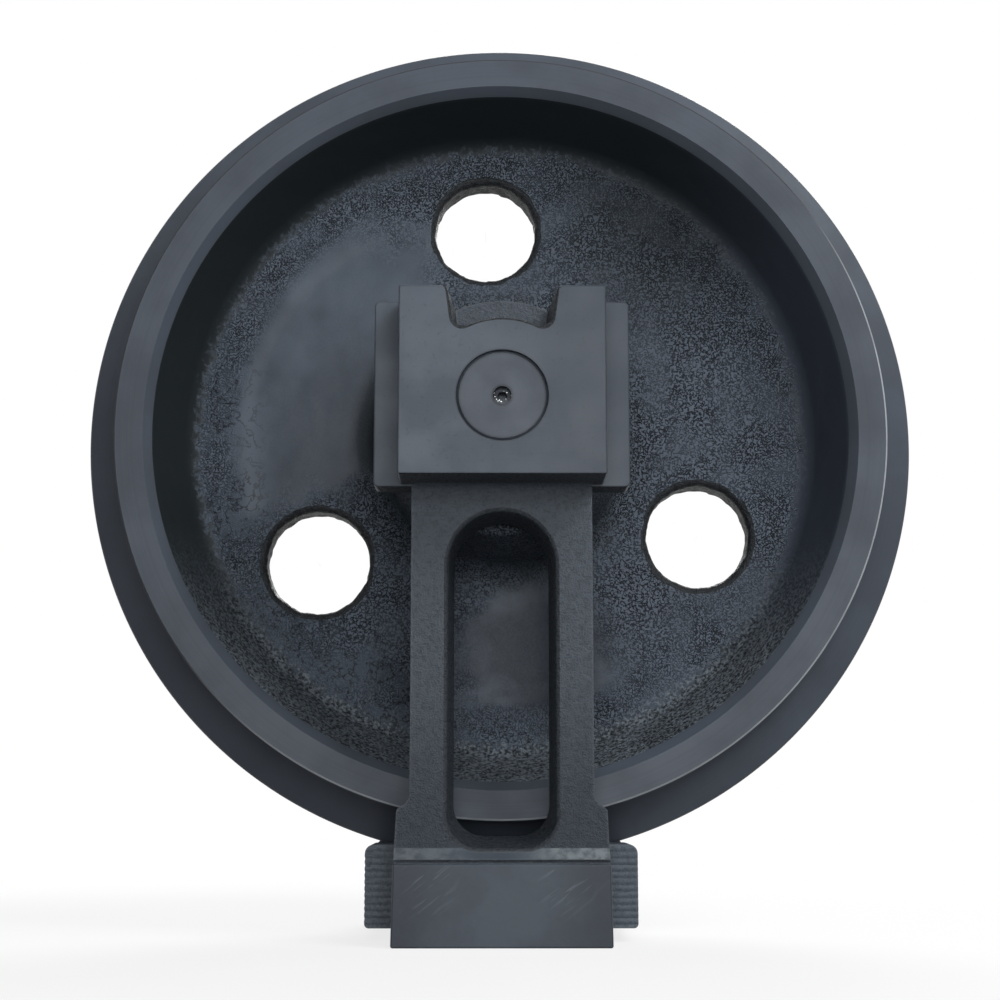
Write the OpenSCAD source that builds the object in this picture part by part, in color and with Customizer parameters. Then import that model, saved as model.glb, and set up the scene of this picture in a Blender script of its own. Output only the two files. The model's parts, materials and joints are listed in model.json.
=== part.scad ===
// Front idler of a small crawler excavator: a cast wheel with a centre flange, which spins on a fixed
// shaft between the two arms of a yoke. The yoke stands on its feet, z = 0, with the axle along Y and
// the crossbar's seat for the track adjuster below. Sizes are in millimetres.

/* [Wheel] */
// Diameter over the centre flange
flange_d = 500; // [480:1:512]
// Diameter of the two treads beside the flange
tread_d = 455; // [445:1:465]
// Width of the rim over both treads
rim_w = 112; // [100:1:130]
// Width of the centre flange at its tip
flange_tip_w = 25; // [18:1:34]
// Width of the centre flange where it meets the treads
flange_base_w = 48; // [40:1:60]
// Inner diameter of the rim at its open edges
rim_bore_d = 411; // [400:1:425]
// Inner diameter of the rim down at the web, before its fillet
rim_root_d = 376; // [366:1:390]
// Fillet between the treads and the flange
flange_fillet = 4; // [2:0.5:6]
// Rounding of the flange's tip
flange_tip_round = 3; // [1:0.5:4]
// Width of the chamfer on the rim's inner edge
rim_chamfer = 5; // [2:0.5:7]
// Thickness of the web
web_t = 23; // [18:1:30]
// Radius of the fillet between web and rim
rim_fillet = 24; // [15:1:30]
// Radius of the fillet between web and hub
hub_fillet = 14; // [8:1:20]
// Diameter of each hole in the web
web_hole_d = 62; // [50:1:70]
// Diameter of the circle that the web holes lie on
web_hole_circle_d = 266; // [256:1:272]
// Number of holes in the web
web_hole_count = 3; // [2:1:5]
// Angle of the first web hole from straight up, as the wheel stands
web_hole_turn = 4; // [0:1:60]
// Width of the hub over its two end faces
hub_w = 148; // [140:1:170]
// Wall of the hub outside each seal housing
hub_wall = 15; // [10:1:18]
// Growth of the hub's radius from its end to the web
hub_draft = 11; // [4:1:16]
// Rounding of the hub's end edges
hub_edge_round = 2; // [1:0.5:4]

/* [Shaft and bushes] */
// Diameter of the shaft
shaft_d = 50; // [45:1:55]
// Chamfer on the shaft's ends
shaft_chamfer = 1.5; // [1:0.25:2.5]
// Depth of the shaft's end below the guide block's face
shaft_inset = 1; // [0.5:0.25:3]
// Wall of each bush
bush_wall = 5; // [4:0.5:7]
// Length of each bush inside the hub, without its flange
bush_l = 45; // [30:1:55]
// Thickness of each bush's flange
bush_flange_t = 5; // [3:0.5:7]
// Height of the bush's flange over its outer diameter
bush_flange_h = 6; // [4:0.5:8]
// Extra radius of the oil chamber between the bushes
oil_chamber_h = 2; // [1:0.5:5]
// Diameter of the oil passage in the shaft
oil_hole_d = 6; // [4:0.5:7]

/* [Seals] */
// Free space between the thrust collars and the seal rings
seal_room = 4; // [2:0.5:6]
// Radial width of the seal rings' running face
seal_face_w = 8; // [6:0.5:10]
// Axial length of each seal ring
seal_ring_l = 11; // [9:0.5:14]
// Thickness of the lip that carries each seal ring's running face
seal_lip_t = 4; // [3:0.5:5]
// Wall of each seal ring behind its lip
seal_ring_wall = 4; // [3:0.5:5]
// Thickness of the toric rubber rings
toric_d = 6.8; // [5:0.2:7]
// Thickness of the O-rings on the shaft
shaft_o_ring_d = 2.7; // [2:0.1:3.5]
// Free space beside the O-rings in their grooves
o_ring_slack = 0.8; // [0.4:0.1:1.5]
// Free space between each hub end and its arm
hub_gap = 5; // [3:0.5:8]

/* [Arms] */
// Height of the axle over the origin; the yoke hangs from it
axle_h = 293; // [290:1:330]
// Depth of the boss from the arm's inner face to the guide wings
boss_l = 15; // [10:1:25]
// Chamfer on the outer edge of the shaft's bore in each arm
bore_chamfer = 0.4; // [0.2:0.1:1.5]
// Wall of the boss outside the seal housing
boss_wall = 13; // [8:1:18]
// Thickness of the guide wings
wing_t = 20; // [12:1:28]
// Reach of each guide wing beside the guide block
wing_reach = 15; // [8:0.5:25]
// Drop of the wings' lower edges under the guide block
wing_drop = 1.5; // [0.5:0.25:4]
// Height of the guide block's face over the wings
block_rise = 35.5; // [25:0.5:45]
// Width of the guide block
block_w = 112.5; // [104:0.5:130]
// Height of the guide block's ears over the axle
block_up = 61; // [56:0.5:75]
// Depth of the guide block under the axle
block_down = 43; // [36:0.5:55]
// Width of the notch between the ears, at the top
notch_w = 60; // [52:1:70]
// Lean of each notch wall over its height
notch_lean = 2.5; // [2:0.5:10]
// Narrowing of the notch on each side, from the guide block's face to the wings' backs
notch_draft = 4; // [1:0.5:6]
// Fillet at the bottom of the notch
notch_fillet = 7; // [3:0.5:9]
// Wall over the shaft at the bottom of the notch
notch_wall = 18; // [14:0.5:24]
// Thickness of the leg
leg_t = 34; // [26:1:42]
// Width of the leg
leg_w = 100; // [90:1:106]
// Width of the slot in the leg, at the front
slot_w = 59; // [40:1:66]
// Narrowing of the slot on each side, from front to back
slot_draft = 3; // [0.5:0.5:5]
// Rise of the slot's sill from front to back
sill_rise = 6; // [1:0.5:10]
// Material between the guide block and the top of the slot
slot_top_wall = 15; // [8:1:30]
// Radius of the slot's lower corners
slot_corner = 17; // [8:1:22]
// Rounding of the leg's outer edges
leg_round = 6; // [2:1:10]
// Width of the foot's ledge
foot_w = 116; // [112:1:140]
// Step of the foot's sides out from the ledge, at the foot's top
foot_lip = 1; // [0.5:0.25:3]
// Flare of each side of the foot from its top to its underside
foot_flare = 1.5; // [0.5:0.25:3]
// Height of the foot's front face
foot_h = 45; // [38:1:60]
// Step of the foot's front face out from the leg
foot_step = 7; // [3:0.5:12]
// Height of the sloping ledge on the foot
ledge_h = 7; // [4:0.5:12]
// Height of the shoulders over the ledge
shoulder_h = 21; // [12:1:35]
// Taper of each shoulder's side over its height
shoulder_taper = 1; // [0.5:0.25:3]
// Fillet between the leg and the shoulders
shoulder_fillet = 8; // [4:0.5:10]
// Rounding of the shoulders' outer corners
shoulder_round = 3; // [1:0.5:4]

/* [Lock pins and oil plug] */
// Diameter of the lock pins
pin_d = 12; // [8:0.5:14]
// Depth of each lock pin in the shaft
pin_bite = 14; // [8:0.5:16]
// Depth of each lock pin's head below the notch
pin_inset = 1; // [0.5:0.25:4]
// Diameter of the plug's bore in the shaft's front end
plug_bore_d = 10; // [9:0.25:13]
// Length of the plug
plug_l = 12; // [8:0.5:18]
// Depth of the plug below the shaft's end
plug_inset = 4; // [2:0.5:8]
// Size of the plug's hexagon socket, across flats
plug_socket_af = 5; // [4:0.5:6]
// Depth of the plug's hexagon socket
plug_socket_depth = 5; // [3:0.5:7]
// Thickness of the plug's sealing washer
washer_t = 1; // [0.5:0.25:2]

/* [Crossbar] */
// Width of the crossbar
bar_w = 151.5; // [130:0.5:170]
// Thickness of the crossbar
bar_t = 45.5; // [40:0.5:54]
// Height of the crossbar's underside over the foot's underside
bar_seat_h = 7.5; // [5:0.5:10]
// Rounding of the crossbar's upper edges
bar_round_top = 5; // [3:1:14]
// Rounding of the crossbar's lower edges
bar_round_low = 2.5; // [1:0.5:5]
// Free space between the crossbar and the wheel's flange and treads
flange_room = 12; // [8:1:16]
// Thickness of the crossbar that is left under the wheel's flange
bar_neck = 23.5; // [18:0.5:32]
// Distance between the ribs on the crossbar's ends
rib_pitch = 3.2; // [2.6:0.2:6]
// Depth of the grooves between the ribs
rib_depth = 0.8; // [0.4:0.1:1.5]
// Leg length of the weld beads
weld_leg = 7; // [4:0.5:10]
// Height of the adjuster's seat pad under the crossbar
seat_pad_h = 2; // [1:0.5:3]
// Free space between the seat pad and the weld beads
seat_pad_room = 4; // [2:0.5:8]
// Diameter of the adjuster's pilot bore
pilot_d = 40; // [30:1:50]
// Depth of the adjuster's pilot bore
pilot_depth = 12; // [6:0.5:15]
// Number of tapped bolt holes
bolt_count = 4; // [2:1:6]
// Diameter of the bolt circle around the pilot bore
bolt_circle_d = 110; // [96:1:120]
// Diameter of the tapped bolt holes
bolt_hole_d = 14; // [10:0.5:18]
// Depth of the tapped bolt holes
bolt_hole_depth = 20; // [14:0.5:22]

/* [Clearances] */
// Radial clearance of the bushes on the shaft
running_clearance = 0.05; // [0.02:0.01:0.1]
// Radial clearance of fitted pieces in their seats
seat_clearance = 0.03; // [0.01:0.01:0.06]
// Free space between faces that run past each other
face_clearance = 0.3; // [0.1:0.05:0.5]
// Free space between the two running faces of a seal
seal_film = 0.06; // [0.02:0.02:0.2]

/* [Hidden] */
$fn = 96;

// Overlap that keeps cuts and joined shapes from sharing a face
lap = 1;
// Edges are broken by this much where a file has passed
edge_break = 1;
// Steps in a rounded corner of an outline
arc_steps = 10;
// Sides of small round bars
small_sides = 32;

// Colours
paint_colour = "#59606b";
cast_colour = "#4b525d";
steel_colour = "#b9bcc0";
bronze_colour = "#b08a4c";
rubber_colour = "#26272a";

// Places along the axle, counted outward from the middle of the wheel
hub_end = hub_w / 2;
arm_back = hub_end + hub_gap;
leg_front = arm_back + leg_t;
foot_front = leg_front + foot_step;
wing_back = arm_back + boss_l;
wing_front = wing_back + wing_t;
block_front = wing_front + block_rise;
shaft_end = block_front - shaft_inset;
seal_plane = hub_end + hub_gap / 2;
ring_back = seal_plane + seal_ring_l;
arm_floor = ring_back + face_clearance;
hub_floor = 2 * seal_plane - arm_floor;
thrust_face = hub_floor + bush_flange_t + face_clearance;
boss_end = (wing_back + wing_front) / 2;
pin_place = (wing_front + block_front) / 2;
plug_head = shaft_end - plug_inset;
plug_back = plug_head - plug_l;

// Radii from the axle outward
shaft_r = shaft_d / 2;
arm_bore_r = shaft_r + seat_clearance;
bush_in_r = shaft_r + running_clearance;
bush_out_r = bush_in_r + bush_wall;
hub_bore_r = bush_out_r + seat_clearance;
bush_flange_r = bush_out_r + bush_flange_h;
ring_in_r = bush_flange_r + seal_room;
ring_out_r = ring_in_r + seal_ring_wall;
lip_r = ring_in_r + seal_face_w;
toric_r = ring_out_r + seat_clearance + toric_d / 2;
housing_r = max(toric_r + toric_d / 2, lip_r) + seat_clearance;
hub_r = housing_r + hub_wall;
hub_root_r = hub_r + hub_draft;
boss_r = housing_r + boss_wall;
notch_r = shaft_r + notch_wall;
flange_r = flange_d / 2;
tread_r = tread_d / 2;
rim_bore_r = rim_bore_d / 2;
rim_root_r = rim_root_d / 2;

o_ring_groove_r = arm_bore_r - shaft_o_ring_d - 2 * seat_clearance;

// Heights over the origin
block_low = axle_h - block_down;
bar_low = axle_h - flange_r - flange_room - bar_neck;
bar_top = bar_low + bar_t;
seat_face = bar_low - seat_pad_h;
foot_low = bar_low - bar_seat_h;
foot_top = foot_low + foot_h;
ledge_top = foot_top + ledge_h;
slot_low = ledge_top;
slot_top = block_low - slot_top_wall;

// Leg length of the weld beads under the crossbar, which end above the feet
low_weld_leg = min(weld_leg, bar_seat_h - edge_break);

// A point at a distance and angle from a centre
function polar(centre, radius, angle) = centre + radius * [cos(angle), sin(angle)];

// A vector of length one
function unit(v) = v / norm(v);

// Arc that rounds the corner at b, between its neighbours a and c
function corner_arc(a, b, c, radius) =
    let (
        to_a = unit(a - b),
        to_c = unit(c - b),
        half = acos(to_a * to_c) / 2,
        centre = b + unit(to_a + to_c) * radius / sin(half),
        start = b + to_a * radius / tan(half) - centre,
        finish = b + to_c * radius / tan(half) - centre,
        start_angle = atan2(start[1], start[0]),
        turn = atan2(finish[1], finish[0]) - start_angle,
        sweep = turn > 180 ? turn - 360 : turn < -180 ? turn + 360 : turn
    )
    [for (i = [0:arc_steps]) polar(centre, radius, start_angle + sweep * i / arc_steps)];

// Outline whose corners are [x, y, radius], with sharp corners where the radius is 0
function rounded(corners) =
    let (count = len(corners), at = [for (p = corners) [p[0], p[1]]])
    [for (i = [0:count - 1])
        each corners[i][2] == 0
            ? [at[i]]
            : corner_arc(at[(i + count - 1) % count], at[i], at[(i + 1) % count], corners[i][2])];

// Turns an outline of [radius, distance along the axle] about the axle
module turned() {
    translate([0, 0, axle_h])
        rotate([-90, 0, 0])
            rotate_extrude()
                children();
}

// Round bar along the axle, between two distances from the middle
module axle_rod(radius, from, to) {
    translate([0, from, axle_h])
        rotate([-90, 0, 0])
            cylinder(r = radius, h = to - from);
}

// Round bar that widens or narrows along the axle
module axle_cone(radius_from, radius_to, from, to) {
    translate([0, from, axle_h])
        rotate([-90, 0, 0])
            cylinder(r1 = radius_from, r2 = radius_to, h = to - from);
}

// Outline in the front view, drawn as [x, z], made solid between two distances along the axle
module front_slab(from, to) {
    translate([0, to, 0])
        rotate([90, 0, 0])
            linear_extrude(height = to - from)
                children();
}

// What is drawn for the rear side, placed on the front side
module on_front() {
    mirror([0, 1, 0])
        children();
}

// Outline of one half of the wheel's cross-section, from its middle to one open side and back
function wheel_half_outline() =
    let (half_rim = rim_w / 2, half_web = web_t / 2)
    rounded([
        [hub_bore_r + oil_chamber_h, 0, 0],
        [hub_bore_r + oil_chamber_h, hub_floor - bush_l, 0],
        [hub_bore_r, hub_floor - bush_l, 0],
        [hub_bore_r, hub_floor, 0],
        [housing_r, hub_floor, 0],
        [housing_r, hub_end, 0],
        [hub_r, hub_end, hub_edge_round],
        [hub_root_r, half_web, hub_fillet],
        [rim_root_r, half_web, rim_fillet],
        [rim_bore_r, half_rim - rim_chamfer, 0],
        [rim_bore_r + rim_chamfer, half_rim, 0],
        [tread_r - edge_break, half_rim, 0],
        [tread_r, half_rim - edge_break, 0],
        [tread_r, flange_base_w / 2, flange_fillet],
        [flange_r, flange_tip_w / 2, flange_tip_round],
        [flange_r, 0, 0]
    ]);

module wheel_section() {
    half = wheel_half_outline();
    last = len(half) - 1;
    polygon(concat(half, [for (i = [last - 1:-1:1]) [half[i][0], -half[i][1]]]));
}

module idler_wheel() {
    color(paint_colour)
        difference() {
            turned()
                wheel_section();
            for (i = [0:web_hole_count - 1])
                translate([0, 0, axle_h])
                    rotate([0, 360 / web_hole_count * i - web_hole_turn, 0])
                        translate([0, 0, web_hole_circle_d / 2])
                            rotate([90, 0, 0])
                                cylinder(d = web_hole_d, h = web_t + 2 * lap, center = true);
        }
}

// Flanged bush, drawn for the rear side
module bush() {
    color(bronze_colour)
        turned()
            polygon([
                [bush_in_r, hub_floor - bush_l],
                [bush_out_r, hub_floor - bush_l],
                [bush_out_r, hub_floor],
                [bush_flange_r, hub_floor],
                [bush_flange_r, hub_floor + bush_flange_t],
                [bush_in_r, hub_floor + bush_flange_t]
            ]);
}

// Seal ring with its running face at the seal plane; way is 1 for the arm's ring and -1 for the hub's
module seal_ring(way) {
    color(steel_colour)
        turned()
            polygon([for (p = [
                [ring_in_r, seal_film / 2],
                [lip_r, seal_film / 2],
                [lip_r, seal_lip_t],
                [ring_out_r, seal_lip_t],
                [ring_out_r, seal_ring_l],
                [ring_in_r, seal_ring_l]
            ]) [p[0], seal_plane + way * p[1]]]);
}

// Rubber ring behind a seal ring's lip
module toric(way) {
    color(rubber_colour)
        turned()
            translate([toric_r, seal_plane + way * (seal_lip_t + seat_clearance + toric_d / 2)])
                circle(d = toric_d, $fn = small_sides);
}

module front_bush() {
    on_front()
        bush();
}

module rear_bush() {
    bush();
}

module front_running_seal_ring() {
    on_front()
        seal_ring(-1);
}

module rear_running_seal_ring() {
    seal_ring(-1);
}

module front_running_toric() {
    on_front()
        toric(-1);
}

module rear_running_toric() {
    toric(-1);
}

module front_fixed_seal_ring() {
    on_front()
        seal_ring(1);
}

module rear_fixed_seal_ring() {
    seal_ring(1);
}

module front_fixed_toric() {
    on_front()
        toric(1);
}

module rear_fixed_toric() {
    toric(1);
}

// Hole for a lock pin, or the pin itself, drawn for the rear side
module lock_pin_shape(radius, low, high) {
    translate([0, pin_place, axle_h + low])
        cylinder(r = radius, h = high - low);
}

// Groove for the O-ring, in the middle of the guide wings
module o_ring_groove() {
    groove_w = shaft_o_ring_d + o_ring_slack;
    difference() {
        axle_rod(shaft_r + lap, boss_end - groove_w / 2, boss_end + groove_w / 2);
        axle_rod(o_ring_groove_r, boss_end - groove_w / 2 - lap, boss_end + groove_w / 2 + lap);
    }
}

// Shaft's outline on the rear side, without its holes
module shaft_half() {
    turned()
        polygon([
            [0, -lap],
            [shaft_r, -lap],
            [shaft_r, shaft_end - shaft_chamfer],
            [shaft_r - shaft_chamfer, shaft_end],
            [0, shaft_end]
        ]);
}

module shaft() {
    color(steel_colour)
        difference() {
            union() {
                shaft_half();
                on_front()
                    shaft_half();
            }
            o_ring_groove();
            lock_pin_shape(pin_d / 2 + seat_clearance, shaft_r - pin_bite, shaft_r + lap);
            on_front() {
                o_ring_groove();
                lock_pin_shape(pin_d / 2 + seat_clearance, shaft_r - pin_bite, shaft_r + lap);
                axle_rod(plug_bore_d / 2, plug_back - washer_t, shaft_end + lap);
                axle_rod(oil_hole_d / 2, 0, shaft_end);
            }
            translate([0, 0, axle_h])
                cylinder(d = oil_hole_d, h = shaft_r + lap);
        }
}

// O-ring in its groove, drawn for the rear side
module shaft_o_ring() {
    color(rubber_colour)
        turned()
            translate([o_ring_groove_r + seat_clearance + shaft_o_ring_d / 2, boss_end])
                circle(d = shaft_o_ring_d, $fn = small_sides);
}

module front_shaft_o_ring() {
    on_front()
        shaft_o_ring();
}

module rear_shaft_o_ring() {
    shaft_o_ring();
}

module lock_pin() {
    color(steel_colour)
        lock_pin_shape(pin_d / 2, shaft_r - pin_bite, notch_r - pin_inset);
}

module front_lock_pin() {
    on_front()
        lock_pin();
}

module rear_lock_pin() {
    lock_pin();
}

module oil_fill_plug() {
    color(steel_colour)
        on_front()
            difference() {
                axle_rod(plug_bore_d / 2 - seat_clearance, plug_back, plug_head);
                translate([0, plug_head - plug_socket_depth, axle_h])
                    rotate([-90, 0, 0])
                        cylinder(d = plug_socket_af / cos(30), h = plug_socket_depth + lap, $fn = 6);
            }
}

module oil_plug_washer() {
    color(bronze_colour)
        on_front()
            difference() {
                axle_rod(plug_bore_d / 2 - seat_clearance, plug_back - washer_t, plug_back);
                axle_rod(oil_hole_d / 2, plug_back - washer_t - lap, plug_back + lap);
            }
}

// Directions along the notch's right wall, in the front view: down the wall, and from it into the notch
notch_down = unit([-notch_lean, notch_r - block_up]);
notch_inward = [notch_down[1], -notch_down[0]];

// Centre of a rod that lies against the notch's right wall, at some way down it, from the axle
function notch_rod(moved_in, radius, along) =
    [notch_w / 2 - moved_in, block_up] + notch_inward * radius + notch_down * along;

// Way down the wall at which the notch's fillet also touches the boss
function fillet_along(moved_in) =
    let (start = notch_rod(moved_in, notch_fillet, 0), drop = start * notch_down)
    -drop - sqrt(drop * drop - start * start + pow(notch_r + notch_fillet, 2));

// Space between the ears, which narrows from the guide block's face to the wings' backs
module notch_cut() {
    depth = block_front - wing_back;
    stretch = (depth + 2 * lap) / depth;
    difference() {
        hull()
            for (end = [0, 1], side = [-1, 1]) {
                moved_in = end * notch_draft * stretch;
                place = end == 0 ? block_front + lap : wing_back - 2 * lap;
                low = notch_rod(moved_in, notch_fillet, fillet_along(moved_in));
                high = notch_rod(moved_in, lap, -3 * lap);
                translate([side * low[0], 0, low[1]])
                    axle_rod(notch_fillet, place, place + lap, $fn = small_sides);
                translate([side * high[0], 0, high[1]])
                    axle_rod(lap, place, place + lap, $fn = small_sides);
            }
        axle_rod(notch_r, wing_back - 3 * lap, block_front + 3 * lap);
    }
}

// Leg in the front view, with the shoulders that widen it to the foot
module leg_outline() {
    shoulder_top = ledge_top + shoulder_h;
    shoulder_x = foot_w / 2 - shoulder_taper;
    step = shoulder_x - leg_w / 2;
    // Largest rounds that fit the step, as shares of it
    outer_share = 0.4;
    inner_share = 1.2;
    right_side = rounded([
        [foot_w / 2, foot_top - lap, 0],
        [foot_w / 2, ledge_top, 0],
        [shoulder_x, shoulder_top, min(shoulder_round, step * outer_share)],
        [leg_w / 2, shoulder_top + step / 2, min(shoulder_fillet, step * inner_share)],
        [leg_w / 2, axle_h, 0],
        [0, axle_h, 0],
        [0, foot_top - lap, 0]
    ]);
    polygon(right_side);
    mirror([1, 0])
        polygon(right_side);
}

// Foot in the front view, a little wider than its ledge
module foot_outline() {
    top_half = foot_w / 2 + foot_lip;
    low_half = top_half + foot_flare;
    polygon([
        [-low_half, foot_low],
        [low_half, foot_low],
        [top_half, foot_top],
        [-top_half, foot_top]
    ]);
}

// Slot in the leg, which narrows from its front to its back
module slot_cut() {
    reach = (leg_t + lap) / leg_t;
    hull()
        for (end = [0, 1]) {
            half_w = slot_w / 2 - end * slot_draft * reach;
            low = slot_low + end * sill_rise * reach;
            top_z = slot_top - slot_w / 2;
            place = end == 0 ? leg_front : arm_back - 2 * lap;
            translate([0, 0, top_z - axle_h])
                axle_rod(half_w, place, place + lap, $fn = 2 * small_sides);
            for (side = [-1, 1])
                translate([side * (half_w - slot_corner), 0, low + slot_corner - axle_h])
                    axle_rod(slot_corner, place, place + lap, $fn = small_sides);
        }
}

// Strip that takes the sharp front edges off the leg, between foot and guide block
module leg_edge_cut() {
    low = ledge_top + shoulder_h + foot_w / 2 - leg_w / 2;
    for (side = [0, 1])
        mirror([side, 0, 0])
            translate([leg_w / 2 - leg_round, leg_front - leg_round, low])
                linear_extrude(height = block_low - low)
                    difference() {
                        square(leg_round + lap);
                        circle(r = leg_round);
                    }
}

// One arm of the yoke, drawn for the rear side
module arm() {
    color(cast_colour)
        difference() {
            union() {
                front_slab(wing_back, wing_front)
                    translate([-block_w / 2 - wing_reach, block_low - wing_drop])
                        square([block_w + 2 * wing_reach, block_up + block_down + wing_drop]);
                front_slab(wing_back, block_front)
                    translate([-block_w / 2, block_low])
                        square([block_w, block_up + block_down]);
                axle_rod(boss_r, arm_back, boss_end);
                axle_rod(bush_flange_r, thrust_face, arm_floor + lap);
                difference() {
                    front_slab(arm_back, leg_front)
                        leg_outline();
                    slot_cut();
                    leg_edge_cut();
                }
                front_slab(arm_back, foot_front)
                    foot_outline();
                translate([-foot_w / 2, 0, 0])
                    rotate([90, 0, 90])
                        linear_extrude(height = foot_w)
                            polygon([
                                [arm_back, foot_top - lap],
                                [foot_front, foot_top - lap],
                                [foot_front, foot_top],
                                [leg_front, ledge_top],
                                [arm_back, ledge_top]
                            ]);
            }
            difference() {
                notch_cut();
                axle_rod(boss_r, arm_back, boss_end);
            }
            difference() {
                axle_rod(housing_r, arm_back - lap, arm_floor);
                axle_rod(bush_flange_r, arm_back - 2 * lap, arm_floor + lap);
            }
            axle_rod(arm_bore_r, thrust_face - lap, block_front + lap);
            translate([0, block_front - bore_chamfer, 0])
                axle_cone(arm_bore_r, arm_bore_r + bore_chamfer + lap, 0, bore_chamfer + lap);
            lock_pin_shape(pin_d / 2 + seat_clearance, 0, notch_r + lap);
        }
}

module front_arm() {
    on_front()
        arm();
}

module rear_arm() {
    arm();
}

// Crossbar in the front view
module bar_outline() {
    polygon(rounded([
        [-bar_w / 2, bar_low, bar_round_low],
        [bar_w / 2, bar_low, bar_round_low],
        [bar_w / 2, bar_top, bar_round_top],
        [-bar_w / 2, bar_top, bar_round_top]
    ]));
}

// Grooves across the rear end of the crossbar
module rib_cuts() {
    rib_count = floor((bar_t - bar_round_top - bar_round_low) / rib_pitch);
    first_rib = bar_low + bar_round_low + rib_pitch / 2;
    for (i = [0:rib_count - 1])
        translate([-bar_w / 2 - lap, arm_back - rib_depth, first_rib + rib_pitch * i])
            cube([bar_w + 2 * lap, rib_depth + lap, rib_pitch / 2]);
}

// Space that the crossbar leaves to the wheel's flange and treads
module wheel_space() {
    for (band = [[flange_r, flange_base_w], [tread_r, rim_w]]) {
        half_w = band[1] / 2 + flange_room;
        axle_rod(band[0] + flange_room, -half_w, half_w);
    }
}

module crossbar() {
    color(cast_colour)
        difference() {
            union() {
                front_slab(-arm_back, arm_back)
                    bar_outline();
                translate([0, 0, seat_face])
                    cylinder(r = arm_back - low_weld_leg - seat_pad_room, h = seat_pad_h + lap);
            }
            wheel_space();
            rib_cuts();
            on_front()
                rib_cuts();
            translate([0, 0, seat_face - lap])
                cylinder(d = pilot_d, h = pilot_depth + lap);
            for (i = [0:bolt_count - 1])
                rotate([0, 0, 360 / bolt_count * (i + 0.5)])
                    translate([bolt_circle_d / 2, 0, seat_face - lap])
                        cylinder(d = bolt_hole_d, h = bolt_hole_depth + lap);
        }
}

// Bead with a three-cornered section, drawn as [distance along the axle, height], between two places
// across the bar
module bead(from, to, corners) {
    translate([from, 0, 0])
        rotate([90, 0, 90])
            linear_extrude(height = to - from)
                polygon(corners);
}

// Beads that join the rear arm to the crossbar: one below and two above, beside the slot
module weld_beads() {
    across = foot_w / 2 - edge_break;
    beside_slot = slot_w / 2 + edge_break;
    color(cast_colour) {
        bead(-across, across, [
            [arm_back, bar_low],
            [arm_back, bar_low - low_weld_leg],
            [arm_back - low_weld_leg, bar_low]
        ]);
        for (side = [0, 1])
            mirror([side, 0, 0])
                bead(beside_slot, leg_w / 2, [
                    [arm_back, bar_top],
                    [arm_back, bar_top + weld_leg],
                    [arm_back - weld_leg, bar_top]
                ]);
    }
}

module front_weld_beads() {
    on_front()
        weld_beads();
}

module rear_weld_beads() {
    weld_beads();
}

idler_wheel();
front_bush();
rear_bush();
front_running_seal_ring();
rear_running_seal_ring();
front_running_toric();
rear_running_toric();
front_fixed_seal_ring();
rear_fixed_seal_ring();
front_fixed_toric();
rear_fixed_toric();
shaft();
front_shaft_o_ring();
rear_shaft_o_ring();
front_arm();
rear_arm();
front_lock_pin();
rear_lock_pin();
oil_fill_plug();
oil_plug_washer();
crossbar();
front_weld_beads();
rear_weld_beads();
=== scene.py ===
"""Looks of a crawler excavator's front idler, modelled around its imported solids.

The wheel, both arms, the crossbar and the weld beads are modelled again with the rounds, casting skin,
saw ribs and weld ripples that the solids leave plain. The turned, ground and moulded pieces keep their
solids and only get finishes. Sizes are in millimetres until a piece is finished, and then in metres.
"""

import json
import logging
import math
from dataclasses import dataclass, field
from enum import Enum, IntEnum
from typing import Callable, Optional, Sequence

import bmesh
import bpy
from bmesh.types import BMEdge, BMesh, BMVert
from mathutils import Matrix, Vector, noise

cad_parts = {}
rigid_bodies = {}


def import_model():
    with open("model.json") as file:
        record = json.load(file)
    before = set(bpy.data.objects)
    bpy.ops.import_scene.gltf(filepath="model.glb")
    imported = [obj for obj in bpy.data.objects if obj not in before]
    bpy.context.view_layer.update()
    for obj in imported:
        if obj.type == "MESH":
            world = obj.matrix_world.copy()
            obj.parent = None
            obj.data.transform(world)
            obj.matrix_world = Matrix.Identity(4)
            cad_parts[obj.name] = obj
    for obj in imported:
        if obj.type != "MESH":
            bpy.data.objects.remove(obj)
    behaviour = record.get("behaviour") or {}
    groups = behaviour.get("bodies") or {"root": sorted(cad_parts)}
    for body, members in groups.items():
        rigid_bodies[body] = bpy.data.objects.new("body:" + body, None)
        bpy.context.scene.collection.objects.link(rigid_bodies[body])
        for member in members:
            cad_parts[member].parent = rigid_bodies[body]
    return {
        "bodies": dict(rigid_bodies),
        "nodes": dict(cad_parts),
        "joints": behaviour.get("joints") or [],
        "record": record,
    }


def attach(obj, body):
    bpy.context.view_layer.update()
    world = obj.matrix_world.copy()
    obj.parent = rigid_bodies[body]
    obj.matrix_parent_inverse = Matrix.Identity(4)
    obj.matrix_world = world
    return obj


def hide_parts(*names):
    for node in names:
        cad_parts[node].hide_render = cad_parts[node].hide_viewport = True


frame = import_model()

MM = 0.001
AXLE_H = frame["joints"][0]["pos_m"][2] / MM

LOG = logging.getLogger("front_idler")

Point = tuple[float, float]
Range = tuple[float, float]
Place = tuple[float, float, float]
Colour = tuple[float, float, float, float]
Socket = bpy.types.NodeSocket

ACROSS: Place = (1.0, 0.0, 0.0)
UP: Place = (0.0, 0.0, 1.0)
FLAT: Place = (1.0, 0.0, 1.0)
HALF = 0.5
FAR = 1e6
NEAR = 0.01
MERGE = 0.001
CLEAN = 0.002
CORE_R = 0.01
ROUND_STEPS = 8
TURN_STEPS = 96


class Side(Enum):
    """Side of the wheel that an arm stands on, with the sign of its place along the axle."""

    FRONT = -1
    REAR = 1


class Body(Enum):
    """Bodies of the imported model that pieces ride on."""

    YOKE = "yoke"
    WHEEL = "wheel"


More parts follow.
